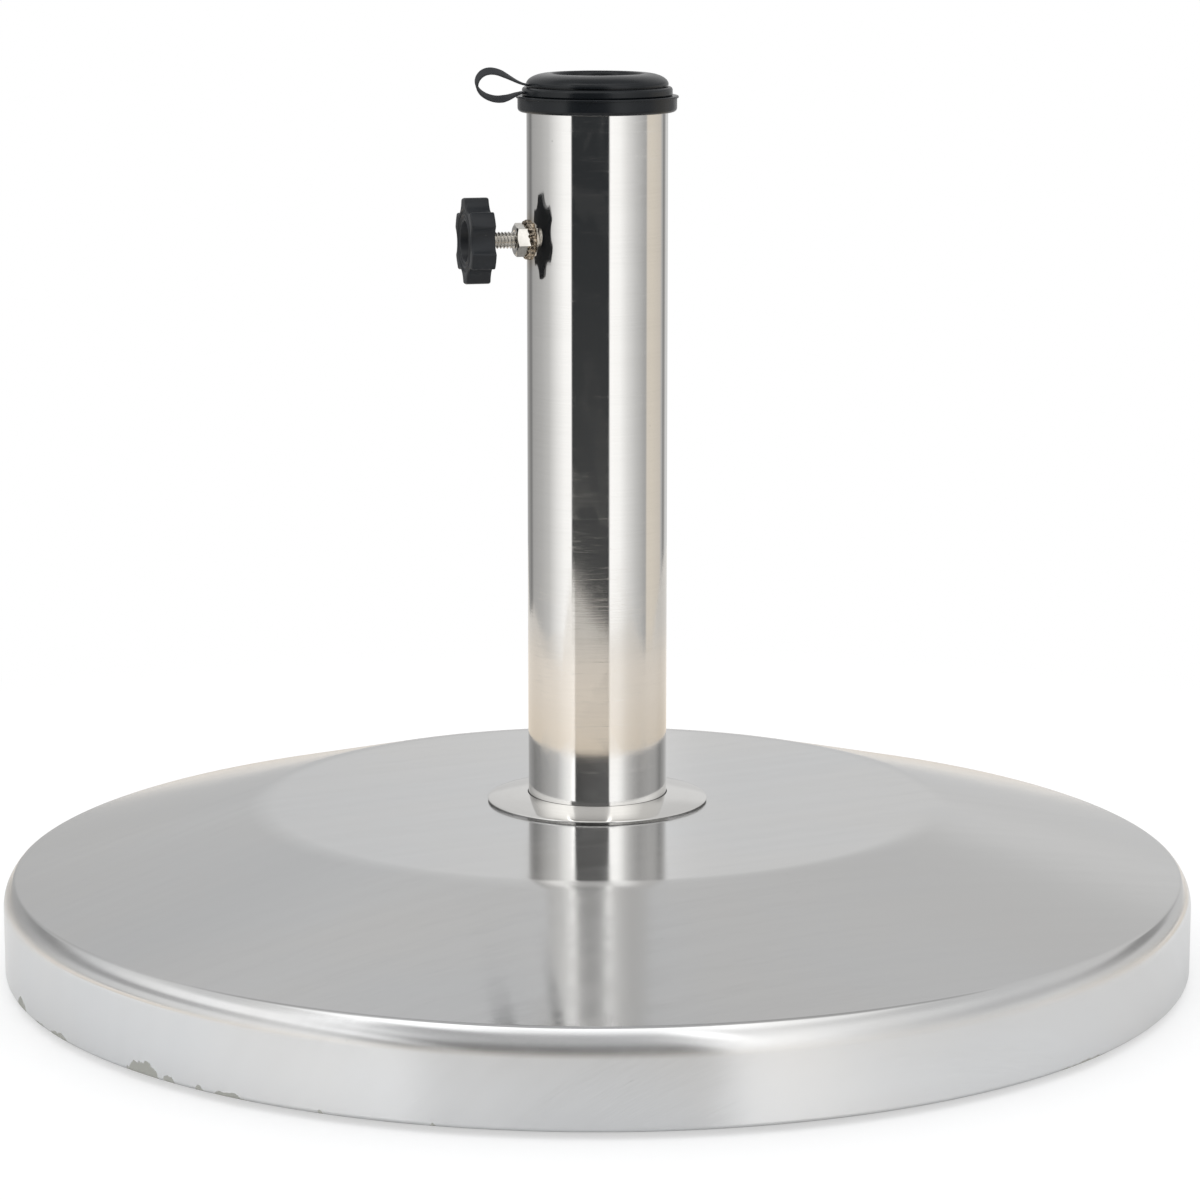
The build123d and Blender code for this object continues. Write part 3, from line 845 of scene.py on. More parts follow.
@dataclass(frozen=True)
class Anchor:
    """Bolt, washers and nut that hold the tube on the disc."""

    pitch: float = 1.75
    thread_depth: float = 1.0
    shank: float = 6.0
    length: float = 70.0
    root: float = 1.0
    flats: float = 18.0
    chamfer_radius: float = 8.8
    thread_from: float = 45.0

    def build(self, shop: Workshop) -> None:
        """Builds and dresses every piece of the anchor."""
        shop.hang(self.bolt(), "plated_steel", Body.BASE, "anchor_bolt")
        shop.keep("anchor_washer", "plated_steel")
        shop.keep("spring_washer", "plated_steel")
        shop.keep("foot_plate", "plain_steel")
        shop.hang(self.nut(), "plated_steel", Body.BASE, "foot_nut")

    def bolt(self) -> Piece:
        """Hexagon bolt, head down, threaded over its upper part."""
        low, high = ends("anchor_bolt")
        seat = high - self.length
        head = hexagon_head(self.flats, low, seat, self.chamfer_radius)
        shank = threaded_rod(
            self.shank, self.pitch, self.thread_depth, seat - self.root, high, self.thread_from
        )
        return Shell().add(head).add(shank).make("anchor_bolt_m12")

    def nut(self) -> Piece:
        """Nut on the foot plate, both faces chamfered."""
        low, high = ends("foot_nut")
        nut = hexagon_head(self.flats, low, high, self.chamfer_radius, self.shank, both_ends=True)
        return Shell().add(nut, close_rows=True).make("foot_nut_m12")


def hexagon_head(
    flats: float, low: float, high: float, face: float, bore: float = 0.0, both_ends: bool = False
) -> Array:
    """Grid of a hexagonal bar whose corners are turned off at 30 degrees.

    At each angle the side is the hexagon's radius, slightly eased at its corners, and the chamfer
    runs in from it to the face's circle. Per unit inwards it goes one over the root of three
    along the bar.

    Args:
        flats: size across the flats.
        low: height of the end that is always chamfered.
        high: height of the other end.
        face: radius of the round face left by the chamfer.
        bore: radius of the hole, or 0.
        both_ends: whether the other end is chamfered too, as on a nut.

    Returns:
        Points, rows from the bore's low end round the outside to its high end.
    """
    turn = math.pi / 6
    angles = ring_angles(HEXAGON_STEPS, 2 * turn)
    side = np.minimum(hexagon_radius(angles, flats, turn), 0.5 * flats / math.cos(turn) * EASED)
    drop = (side - face) * math.tan(turn)
    upper = drop if both_ends else 0 * drop
    return from_rows([(bore, low), (face, low), (side, low + drop), (side, high - upper),
                      (np.minimum(face, side), high), (bore, high)], angles)


def threaded_rod(
    radius: float, pitch: float, depth: float, low: float, high: float, plain_to: float,
    columns: int = 48, steps: int = 12, flank: float = 1.35,
) -> Array:
    """Grid of a rod with a right-handed thread, closed at both ends.

    At each height and angle the thread's phase is height over pitch less the angle's share of a
    turn. A triangle wave of that phase, flattened at crest and root, is cut `depth` into the rod.

    Args:
        radius: the rod's radius over the crests.
        pitch: the thread's rise in a turn.
        depth: the thread's depth.
        low: height of the rod's plain end.
        high: height of its far end, where the thread runs out in a cone.
        plain_to: height above which the thread starts.
        columns: points round the rod.
        steps: rows in each turn of the thread.
        flank: the triangle wave's height before it is flattened to 1.

    Returns:
        Points, rows from the low end to the high one.
    """
    height = np.append(np.arange(low, high, pitch / steps), high)[:, None]
    angles = ring_angles(columns)
    phase = (height / pitch - angles / (2 * math.pi)) % 1
    ridge = np.clip(0.5 + flank * (0.5 - np.abs(2 * phase - 1)), 0, 1)
    cut = depth * (1 - ridge) * np.clip((height - plain_to) / pitch, 0, 1)
    tip = np.maximum(depth - (high - height), 0)
    outer = np.minimum(radius - cut, radius - tip)
    outer = np.vstack([0 * outer[:1], outer, 0 * outer[:1]])
    height = np.vstack([height[:1], height, height[-1:]])
    return polar(outer, height, angles)


@dataclass(frozen=True)
class Stand:
    """The polished tube, with its cross hole for the clamp screw, and the escutcheon at its foot."""

    wall: float = 1.0
    hole: float = 3.5
    window_steps: int = 10
    heights_below: int = 24
    heights_above: int = 6
    columns: int = 256
    rosette_sheet: float = 0.5
    rosette_rim: float = 62.9
    rosette_neck: float = 65.0
    rosette_crown: float = 0.25
    rosette_gap: float = 0.3

    def build(self, shop: Workshop) -> None:
        """Builds and dresses the tube and the rosette."""
        shop.hang(self.tube(), "tube_steel", Body.BASE, "stand_tube")
        shop.hang(self.rosette(), "tube_steel", Body.BASE, "rosette")

    def tube(self) -> Piece:
        """Tube with a round hole on its -X side: two walls, the hole's side and two end rings."""
        shell = Shell()
        radii = (TUBE_RADIUS, TUBE_RADIUS - self.wall)
        shell.add(np.stack([self.pierced_wall(shell, radius) for radius in radii]))
        for height in ends("stand_tube"):
            shell.add(turned(np.array([[radius, height] for radius in radii]), self.columns))
        return shell.make("polished_tube")

    def pierced_wall(self, shell: Shell, radius: float) -> Array:
        """Adds one wall of the tube: a grid of angle and height whose cells round the hole are
        left out, and rings that fill the gap.

        The rings go evenly from the gap's square edge to the hole's circle, both bent onto the
        cylinder: the angle is the arc sine of the circle's sideways place over the radius.

        Args:
            shell: what the wall is added to.
            radius: the wall's radius.

        Returns:
            The hole's circle on this wall, (count, 3).
        """
        bottom, top = ends("stand_tube")
        middle = clamp_height()
        gap = 2 * self.window_steps
        half = self.window_steps * 2 * math.pi / self.columns
        offsets = np.linspace(-half, half, gap + 1)
        window = middle + offsets * TUBE_RADIUS
        below = np.linspace(bottom, window[0], self.heights_below)[:-1]
        heights = np.concatenate([below, window, np.linspace(window[-1], top, self.heights_above)[1:]])
        grid = polar(np.full((len(heights), 1), radius), heights[:, None], ring_angles(self.columns))
        keep = np.ones((len(heights) - 1, self.columns), bool)
        first = self.columns // 2 - self.window_steps
        keep[len(below):len(below) + gap, first:first + gap] = False
        shell.add(grid, keep=keep)
        run = offsets[:-1]
        reach = np.full(gap, half)
        sides = ((run, -reach), (reach, run), (-run, reach), (-reach, -run))
        edge = np.concatenate([np.stack(side, axis=1) for side in sides])
        turn = np.arctan2(edge[:, 1], edge[:, 0])
        bent = np.arcsin(self.hole * np.cos(turn) / radius)
        circle = np.stack([bent, self.hole * np.sin(turn) / TUBE_RADIUS], axis=1)
        share = np.linspace(0, 1, 6)[:, None, None]
        ring = (1 - share) * edge + share * circle
        angle = math.pi + ring[..., 0]
        height = middle + ring[..., 1] * TUBE_RADIUS
        placed = np.stack([radius * np.cos(angle), radius * np.sin(angle), height], axis=-1)
        shell.add(placed)
        return placed[-1]

    def rosette(self) -> Piece:
        """Thin crowned escutcheon: a shallow bow from the neck down to the rim, with a rolled edge."""
        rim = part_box("rosette")[1].x / MM
        share = np.linspace(0, 1, 16)
        neck = TUBE_RADIUS + self.rosette_gap
        across = neck + share * (rim - neck)
        bow = 4 * self.rosette_crown * share * (1 - share)
        up = self.rosette_neck + share * (self.rosette_rim - self.rosette_neck) + bow
        line = np.stack([across, up], axis=1)
        sheet = self.rosette_sheet
        edge = ellipse_arc((rim - sheet / 2, self.rosette_rim - sheet / 2), sheet / 2, sheet / 2, 80, -80, 6)
        outline = np.vstack([line[:-1], edge, (line - [0, sheet])[-2::-1]])
        return Shell().add(turned(outline, self.columns), close_rows=True).make("foot_rosette")


@dataclass(frozen=True)
class Clamp:
    """The clamp on the tube's -X side: welded nut, screw, pressure tip and star knob.

    Pieces are worked out along their own +Z, which then points to -X, with their +X up.
    """

    nut_flats: float = 11.1
    nut_face: float = 31.6
    nut_bore: float = 3.2
    nut_lead: float = 0.5
    nut_turn: float = 14.0
    # the nut's eased corners and the circle of its chamfer, over half its flats
    nut_corner: float = 1.148
    nut_circle: float = 0.965
    weld_radius: float = 7.5
    weld_rise: float = 2.1
    screw_radius: float = 3.15
    screw_from: float = 26.0
    pitch: float = 1.27
    thread_depth: float = 0.62
    knob_back: float = 41.6
    knob_thick: float = 9.1
    knob_radius: float = 15.9
    lobes: int = 6
    lobe_turn: float = 5.0
    scallop: float = 6.0
    scallop_ring: float = 18.6
    lobe_round: float = 1.1
    pocket: float = 7.6
    pocket_depth: float = 3.4
    dish: float = 11.95
    dish_depth: float = 0.55
    ring: float = 9.8

    def along(self, grid: Array) -> Array:
        """Lays a grid worked out along +Z down along the clamp's line."""
        return np.stack([-grid[..., 2], grid[..., 1], clamp_height() + grid[..., 0]], axis=-1)

    def build(self, shop: Workshop) -> None:
        """Builds and dresses every piece of the clamp."""
        shop.hang(self.nut(), "clamp_steel", Body.BASE, "clamp_nut")
        shop.hang(self.weld(), "weld_metal", Body.BASE, "clamp_nut_weld")
        shop.hang(self.screw(), "clamp_steel", Body.HANDLE, "clamp_screw")
        shop.hang(self.tip(), "natural_nylon", Body.TIP, "pressure_tip")
        shop.hang(self.knob(), "knob_plastic", Body.HANDLE, "clamp_knob")

    def on_tube(self, grid: Array, sink: float = 0.0) -> Array:
        """Heights at which the grid's points meet the tube: the root of the tube's radius squared
        less the sideways place squared, less `sink`."""
        return np.sqrt(np.maximum(TUBE_RADIUS ** 2 - grid[..., 1] ** 2, 0)) - sink

    def nut(self) -> Piece:
        """Nut with a chamfered outer face, its inner end cut to the tube."""
        turn = math.radians(self.nut_turn + 30)
        angles = ring_angles(HEXAGON_STEPS, turn + math.pi / 6)
        corner = 0.5 * self.nut_flats * self.nut_corner
        side = np.minimum(hexagon_radius(angles, self.nut_flats, turn), corner)
        circle = 0.5 * self.nut_flats * self.nut_circle
        drop = (side - circle) * math.tan(math.pi / 6)
        bore, lead, front = self.nut_bore, self.nut_lead, self.nut_face
        grid = from_rows([(bore, front - lead), (bore + lead, front), (circle, front), (side, front - drop),
                          (side, 0), (bore, 0)], angles)
        grid[-2:, :, 2] = self.on_tube(grid[-2:])
        return Shell().add(self.along(grid), close_rows=True).make("welded_nut", sharp=25)

    def weld(self) -> Piece:
        """Weld bead: round its section, a quarter of a rounded square between the tube and the
        nut's side. Its reach and its rise swell and shrink in overlapping puddles."""
        turn = math.radians(self.nut_turn + 30)
        angles = ring_angles(192)
        inner = hexagon_radius(angles, self.nut_flats, turn) - 0.5
        puddle = np.abs(np.sin(8.5 * angles + 0.8 * waves(angles, (2, 3, 5), 4)))
        outer = self.weld_radius - 0.45 + 0.5 * puddle + 0.35 * waves(angles, (3, 4, 7, 11), 7)
        rise = self.weld_rise * (0.72 + 0.22 * puddle + 0.25 * waves(angles, (2, 5, 9), 12))
        section = np.radians(np.linspace(0, 90, 13))[:, None]
        ripple = 1 + 0.05 * np.sin(6 * section + 5 * angles) * np.sin(2 * section)
        radius = inner + (outer - inner) * np.cos(section) ** 0.75 * ripple
        bead = polar(radius, rise * np.sin(section) ** 0.8 * ripple, angles)
        bead[..., 2] += self.on_tube(bead)
        floor = from_rows([(inner, 0), (outer, 0)], angles)
        floor[..., 2] = self.on_tube(floor, sink=0.15)
        grid = np.concatenate([floor, bead])
        return Shell().add(self.along(grid), close_rows=True).make("nut_weld_bead", sharp=60)

    def screw(self) -> Piece:
        """Threaded shank from the tip to the knob, with the head that the knob is moulded round."""
        start, end = self.screw_from, self.knob_back + 0.8
        shank = threaded_rod(self.screw_radius, self.pitch, self.thread_depth, start, end, start)[::-1]
        head = hexagon_head(self.nut_flats, end - 0.1, end + 3.7, 5.3)
        return Shell().add(self.along(shank)).add(self.along(head)).make("threaded_screw", sharp=50)

    def tip(self) -> Piece:
        """Button that presses on the pole, with its stem in the screw's end."""
        back = self.screw_from - 0.05
        face, stem = back - 1.45, back + 3.9
        outline = rounded([
            (0, face, 0), (2.6, face, 0.5), (2.6, back, 0.15), (1.4, back, 0), (1.4, stem, 0), (0, stem, 0),
        ], 5, closed=False)
        return Shell().add(self.along(turned(outline, 48))).make("nylon_pressure_tip")

    def star(self, steps: int = 7) -> Array:
        """The knob's outline.

        One sector runs from the middle of a lobe over a scallop to the next lobe: the blank's
        circle, a small arc that rounds the lobe's corner, the scallop's circle, the same small arc
        and the blank's circle again. The small arc touches both circles, so its centre follows
        from the law of cosines.

        Args:
            steps: steps in each small arc.

        Returns:
            Points as complex numbers.
        """
        reach, ring, bite, ease = self.knob_radius, self.scallop_ring, self.scallop, self.lobe_round
        lean = math.acos((ring ** 2 + (reach - ease) ** 2 - (bite + ease) ** 2) / (2 * ring * (reach - ease)))
        corner = (reach - ease) * np.exp(-1j * lean)
        toward = float(np.angle(ring - corner))
        half = math.pi / self.lobes

        def arc(centre: complex, radius: float, start: float, end: float, count: int) -> Array:
            """Points of one arc, without its last one."""
            return centre + radius * np.exp(1j * np.linspace(start, end, count, endpoint=False))

        sector = np.concatenate([
            arc(0, reach, -half, -lean, 5), arc(corner, ease, -lean, toward, steps),
            arc(ring, bite, toward - math.pi, -toward - math.pi, 3 * steps),
            arc(np.conj(corner), ease, -toward, lean, steps), arc(0, reach, lean, half, 5),
        ])
        turns = math.radians(self.lobe_turn) + half + 2 * half * np.arange(self.lobes)
        return (np.exp(1j * turns)[:, None] * sector).ravel()

    def knob(self) -> Piece:
        """Star knob: each row is the star's outline moved inwards, or a circle on the face.

        The inward move is along the outline's normal, its local direction turned a quarter. The
        edges are quarter rounds: moved in by e (1 - sin a) and back by e (1 - cos a).
        """
        outline = self.star()
        ahead = np.roll(outline, -1) - np.roll(outline, 1)
        inward = 1j * ahead / np.abs(ahead)
        spoke = outline / np.abs(outline)
        back, front = self.knob_back, self.knob_back + self.knob_thick
        floor, depth = front - self.dish_depth, front - self.pocket_depth
        rows: list[tuple[Array, float]] = [(self.screw_radius * spoke, back)]
        for ease, height, side in ((0.5, back, 1), (0.7, front, -1)):
            for a in np.radians(np.linspace(0, 90, 6))[::side]:
                moved = outline + inward * ease * (1 - np.sin(a))
                rows.append((moved, height + side * ease * (1 - np.cos(a))))
        lip = np.minimum(self.dish, np.abs(outline) - 0.75)
        rows += [(lip * spoke, front), ((lip - 0.25) * spoke, front - 0.12), ((lip - 0.45) * spoke, floor)]
        ring, pocket = self.ring, self.pocket
        rows += [(r * spoke, h) for r, h in (
            (ring + 0.55, floor), (ring + 0.3, floor + 0.35), (ring - 0.05, floor + 0.42),
            (ring - 0.3, floor + 0.3), (ring - 0.5, floor), (pocket + 0.75, floor),
            (pocket + 0.5, floor + 0.28), (pocket + 0.15, floor + 0.28), (pocket, floor + 0.1),
            (pocket - 0.1, depth + 0.5), (pocket - 0.5, depth), (0.0, depth),
        )]
        grid = np.stack([np.stack([flat.real, flat.imag, 0 * flat.real + h], axis=-1) for flat, h in rows])
        return Shell().add(self.along(grid)).make("star_knob", sharp=40)


@dataclass(frozen=True)
class Mouth:
    """The black plastic at the tube's mouth: collar, two nested reducers and their strap."""

    collar_radius: float = 29.5
    collar_lip: float = 30.1
    lip_thick: float = 0.8
    collar_foot: float = 322.5
    collar_top: float = 328.4
    collar_bore: float = 24.2
    collar_sleeve: float = 25.1
    tube_top: float = 326.8
    outer_flange: float = 27.85
    outer_thick: float = 3.3
    outer_bore: float = 19.3
    outer_wall: float = 1.6
    rib_reach: float = 23.95
    rib_count: int = 12
    rib_thick: float = 1.6
    inner_flange: float = 26.35
    crest_radius: float = 18.0
    crest: float = 4.9
    undercut_radius: float = 24.6
    undercut: float = 0.5
    dome_foot: float = 0.35
    inner_sleeve: float = 19.05
    inner_bore: float = 16.3
    lead: float = 2.0
    columns: int = 256
    # the tabs that the strap grows from: how far they start inside and end outside their flange
    tab_root: float = 2.0
    tab_reach: float = 1.0
    tab_half: tuple[float, float] = (2.3, 0.5)
    strap_thick: float = 0.9
    strap_wide: float = 3.9
    strap_twist: float = 33.0
    # centre line of the strap, from the dome's tab round to the lower flange's tab
    strap_route: tuple[tuple[float, float], ...] = (
        (27.2, 332.7), (29.6, 333.4), (33.4, 335.5), (37.0, 337.4), (40.9, 338.15), (44.4, 336.8),
        (46.2, 333.2), (44.4, 329.9), (40.7, 327.9), (36.8, 327.3), (33.2, 328.2), (30.9, 329.3),
        (28.7, 329.85),
    )

    def build(self, shop: Workshop) -> None:
        """Builds and dresses every piece of the mouth."""
        shop.hang(self.collar(), "black_plastic", Body.BASE, "top_collar")
        shop.hang(self.outer(), "black_plastic", Body.OUTER, "outer_reducer")
        shop.hang(self.inner(), "black_plastic", Body.INNER, "inner_reducer")
        strap = shop.dress(self.strap(), "black_strap")
        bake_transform(strap)
        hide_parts("tether_strap")

    def collar(self) -> Piece:
        """Cap over the tube's mouth, turned from its outline."""
        low = ends("top_collar")[0]
        inside, lip_foot = TUBE_RADIUS + 0.1, self.collar_top - self.lip_thick
        outline = rounded([
            (self.collar_sleeve, low, 0), (self.collar_sleeve, self.tube_top, 0), (inside, self.tube_top, 0),
            (inside, self.collar_foot, 0.4), (self.collar_radius, self.collar_foot, 1.5),
            (self.collar_radius, lip_foot, 0), (self.collar_lip, lip_foot, 0.2),
            (self.collar_lip, self.collar_top, 0.35), (self.collar_bore, self.collar_top, 0.5),
            (self.collar_bore, low, 0),
        ])
        return Shell().add(turned(outline, self.columns), close_rows=True).make("mouth_collar")

    def outer(self) -> Piece:
        """Lower bush: flange and barrel turned from an outline, ribs as a swelling of the barrel.

        The angles are close together at the ribs' sides, so that each rib stands up sharply.
        """
        low, seat = ends("outer_reducer")[0], self.collar_top
        top = seat + self.outer_thick
        barrel = self.outer_bore + self.outer_wall
        rib = math.asin(self.rib_thick / 2 / self.rib_reach)
        spacing = 2 * math.pi / self.rib_count
        between = np.linspace(rib + 0.02, spacing - rib - 0.02, 16)
        one = np.concatenate([[-rib - 0.004, -rib, rib, rib + 0.004], between])
        angles = (np.arange(self.rib_count)[:, None] * spacing + one).ravel()
        ribbed = (np.abs((angles + spacing / 2) % spacing - spacing / 2) < rib + 0.001).astype(float)
        outline = rounded([
            (barrel, low, 0), (barrel, seat, 0), (self.outer_flange, seat, 0.6),
            (self.outer_flange, top, 1.2), (self.outer_bore, top, 0.5), (self.outer_bore, low, 0.4),
        ])
        radius = np.repeat(outline[:, :1], len(angles), axis=1)
        radius[:2] += ribbed * (self.rib_reach - barrel)
        shell = Shell().add(polar(radius, outline[:, 1:], angles), close_rows=True)
        return shell.add(self.tab(self.outer_flange, seat + 1.45)).make("outer_bush")

    def inner(self) -> Piece:
        """Upper bush: a sleeve under a domed ring that is a quarter ellipse outside and in."""
        low = ends("inner_reducer")[0]
        seat = self.collar_top + self.outer_thick
        edge, peak = seat + self.undercut, seat + self.crest
        crest, flange, bore, sleeve = self.crest_radius, self.inner_flange, self.inner_bore, self.inner_sleeve
        dome_foot = edge + self.dome_foot
        dome = ellipse_arc((crest, dome_foot), flange - crest, peak - edge - self.dome_foot, -4, 90, 28)
        mouth = ellipse_arc((crest, peak - self.lead), crest - bore, self.lead, 90, 180, 12)
        outline = np.vstack([dome, mouth[1:], [
            [bore, low], [sleeve, low], [sleeve, seat], [self.undercut_radius, seat],
            [self.undercut_radius, edge], [flange - 0.4, edge],
        ]])
        shell = Shell().add(turned(outline, self.columns), close_rows=True)
        return shell.add(self.tab(flange, seat + 1.0)).make("inner_bush")

    def tab(self, flange: float, height: float) -> Array:
        """Grid of the tab on a flange: a rounded bar along -X whose end rows close in."""
        turn = ring_angles(24)
        across = self.tab_half[0] * boxy(np.cos(turn), 0.35)
        up = self.tab_half[1] * boxy(np.sin(turn), 0.5)
        start, end = flange - self.tab_root, flange + self.tab_reach
        rows = ((start, 0.0), (start, 1.0), (end - 0.2, 1.0), (end, 0.85), (end, 0.0))
        return np.stack([np.stack([0 * turn - reach, size * across, height + size * up], axis=-1)
                         for reach, size in rows])

    def strap(self) -> Piece:
        """Flat band along a smooth line, its far edge lifted where the loop is free.

        The line is the uniform cubic B-spline of the route. Across it, the band's width lies
        along Y at both roots and leans by the twist in between, and its thickness is at right
        angles to both. The section is a rectangle with rounded corners.
        """
        route = np.array(self.strap_route)
        route = np.vstack([2 * route[0] - route[1], route, 2 * route[-1] - route[-2]])
        share = np.linspace(0, 1, 28, endpoint=False)
        basis = np.stack([(1 - share) ** 3, 3 * share ** 3 - 6 * share ** 2 + 4,
                          -3 * share ** 3 + 3 * share ** 2 + 3 * share + 1, share ** 3], axis=1) / 6
        line = np.concatenate([basis @ route[span:span + 4] for span in range(len(route) - 3)])
        line = np.vstack([line, (route[-3] + 4 * route[-2] + route[-1]) / 6])
        centre = np.stack([-line[:, 0], 0 * line[:, 0], line[:, 1]], axis=1)
        along = np.gradient(centre, axis=0)
        along /= np.linalg.norm(along, axis=1, keepdims=True)
        way = np.linspace(0, 1, len(line))
        lean = math.radians(self.strap_twist) * np.clip(np.minimum(way, 1 - way) / 0.22, 0, 1) ** 1.5
        wide = np.stack([0 * lean, np.cos(lean), np.sin(lean)], axis=1)
        thick = np.cross(along, wide)
        thick /= np.linalg.norm(thick, axis=1, keepdims=True)
        turn = ring_angles(20)
        across = self.strap_wide / 2 * boxy(np.cos(turn), 0.25)
        out = self.strap_thick / 2 * boxy(np.sin(turn), 0.6)
        body = centre[:, None] + across[None, :, None] * wide[:, None] + out[None, :, None] * thick[:, None]
        first, last = (np.repeat(centre[index][None, None], len(turn), axis=1) for index in (0, -1))
        return Shell().add(np.concatenate([first, body, last])).make("reducer_strap", sharp=50)


# ---------------------------------------------------------------- the studio


@dataclass(frozen=True)
class Band:
    """A level band of the studio round the object, as the steel sees it.

    `stops` are (bearing, tone): bearings are degrees to the right of the camera, as seen from the
    object, and tones run straight from one to the next.
    """

    low: float
    high: float
    stops: tuple[tuple[float, float | Colour], ...]

    def tones(self, graph: Graph, way_round: Socket) -> Socket:
        """A colour ramp through the stops.

        Args:
            graph: the world's node graph.
            way_round: the bearing, from 0 at -180 degrees to 1 at 180.

        Returns:
            The ramp's colour.
        """
        ramp = graph.node("ShaderNodeValToRGB")
        keys = ramp.color_ramp.elements
        every_key = [keys[0], keys[1], *(keys.new(0.5) for _ in self.stops[2:])]
        for key, (bearing, tone) in zip(every_key, self.stops):
            key.position = (bearing + 180) / 360
            key.color = opaque(tone if isinstance(tone, tuple) else (tone, tone, tone))
        graph.feed(ramp.inputs["Fac"], way_round)
        return ramp.outputs["Color"]


# What the tube sees just under the horizon, and what the steel at its foot sees just above it.
LEVEL = Band(-90, -3, (
    (-180, 0.62), (-147, 0.58), (-140, 0.20), (-131, 0.42), (-105, 0.50), (-87, 0.62),
    (-71, 0.93), (-56, 1.18), (-43.0, 1.25), (-42.0, (0.028, 0.031, 0.034)), (19.2, (0.028, 0.031, 0.034)),
    (20.2, 1.25), (37, 1.18), (51, 0.88),
    (66, 0.65), (83, 0.46), (87, 0.44), (90, (0.78, 0.72, 0.64)), (101, (0.78, 0.72, 0.63)),
    (126, (0.68, 0.63, 0.57)), (132, 0.50), (138, 0.26), (144, 0.34), (151, 0.70), (180, 0.62),
))
LOW = Band(11, 16, (
    (-180, 0.78), (-165, 0.72), (-150, 0.45), (-128, 0.26), (-113, 0.32), (-87, 0.56), (-71, 0.72),
    (-56, 1.20), (-46, 1.50), (-42, 1.9), (-38.5, 2.1), (-36.5, 0.075), (19.2, 0.075), (20.2, 1.70),
    (33, 1.68), (40, 1.44), (48, 0.95), (55, 0.70), (64, 0.52), (74, 0.42), (98, 0.55), (113, 0.52),
    (128, 0.32), (145, 0.50), (160, 0.72), (171, 0.75), (180, 0.76),
))
# The room's far wall, seen only in the bend of the rim.
HORIZON = Band(0, 7, (
    (-180, 0.66), (-166, 0.62), (-150, 0.45), (-110, 0.75), (-70, 1.05), (-46, 1.30), (-42, 0.15), (19, 0.15),
    (22, 1.30), (60, 0.95), (92, 1.0), (125, 0.70), (180, 0.66),
))


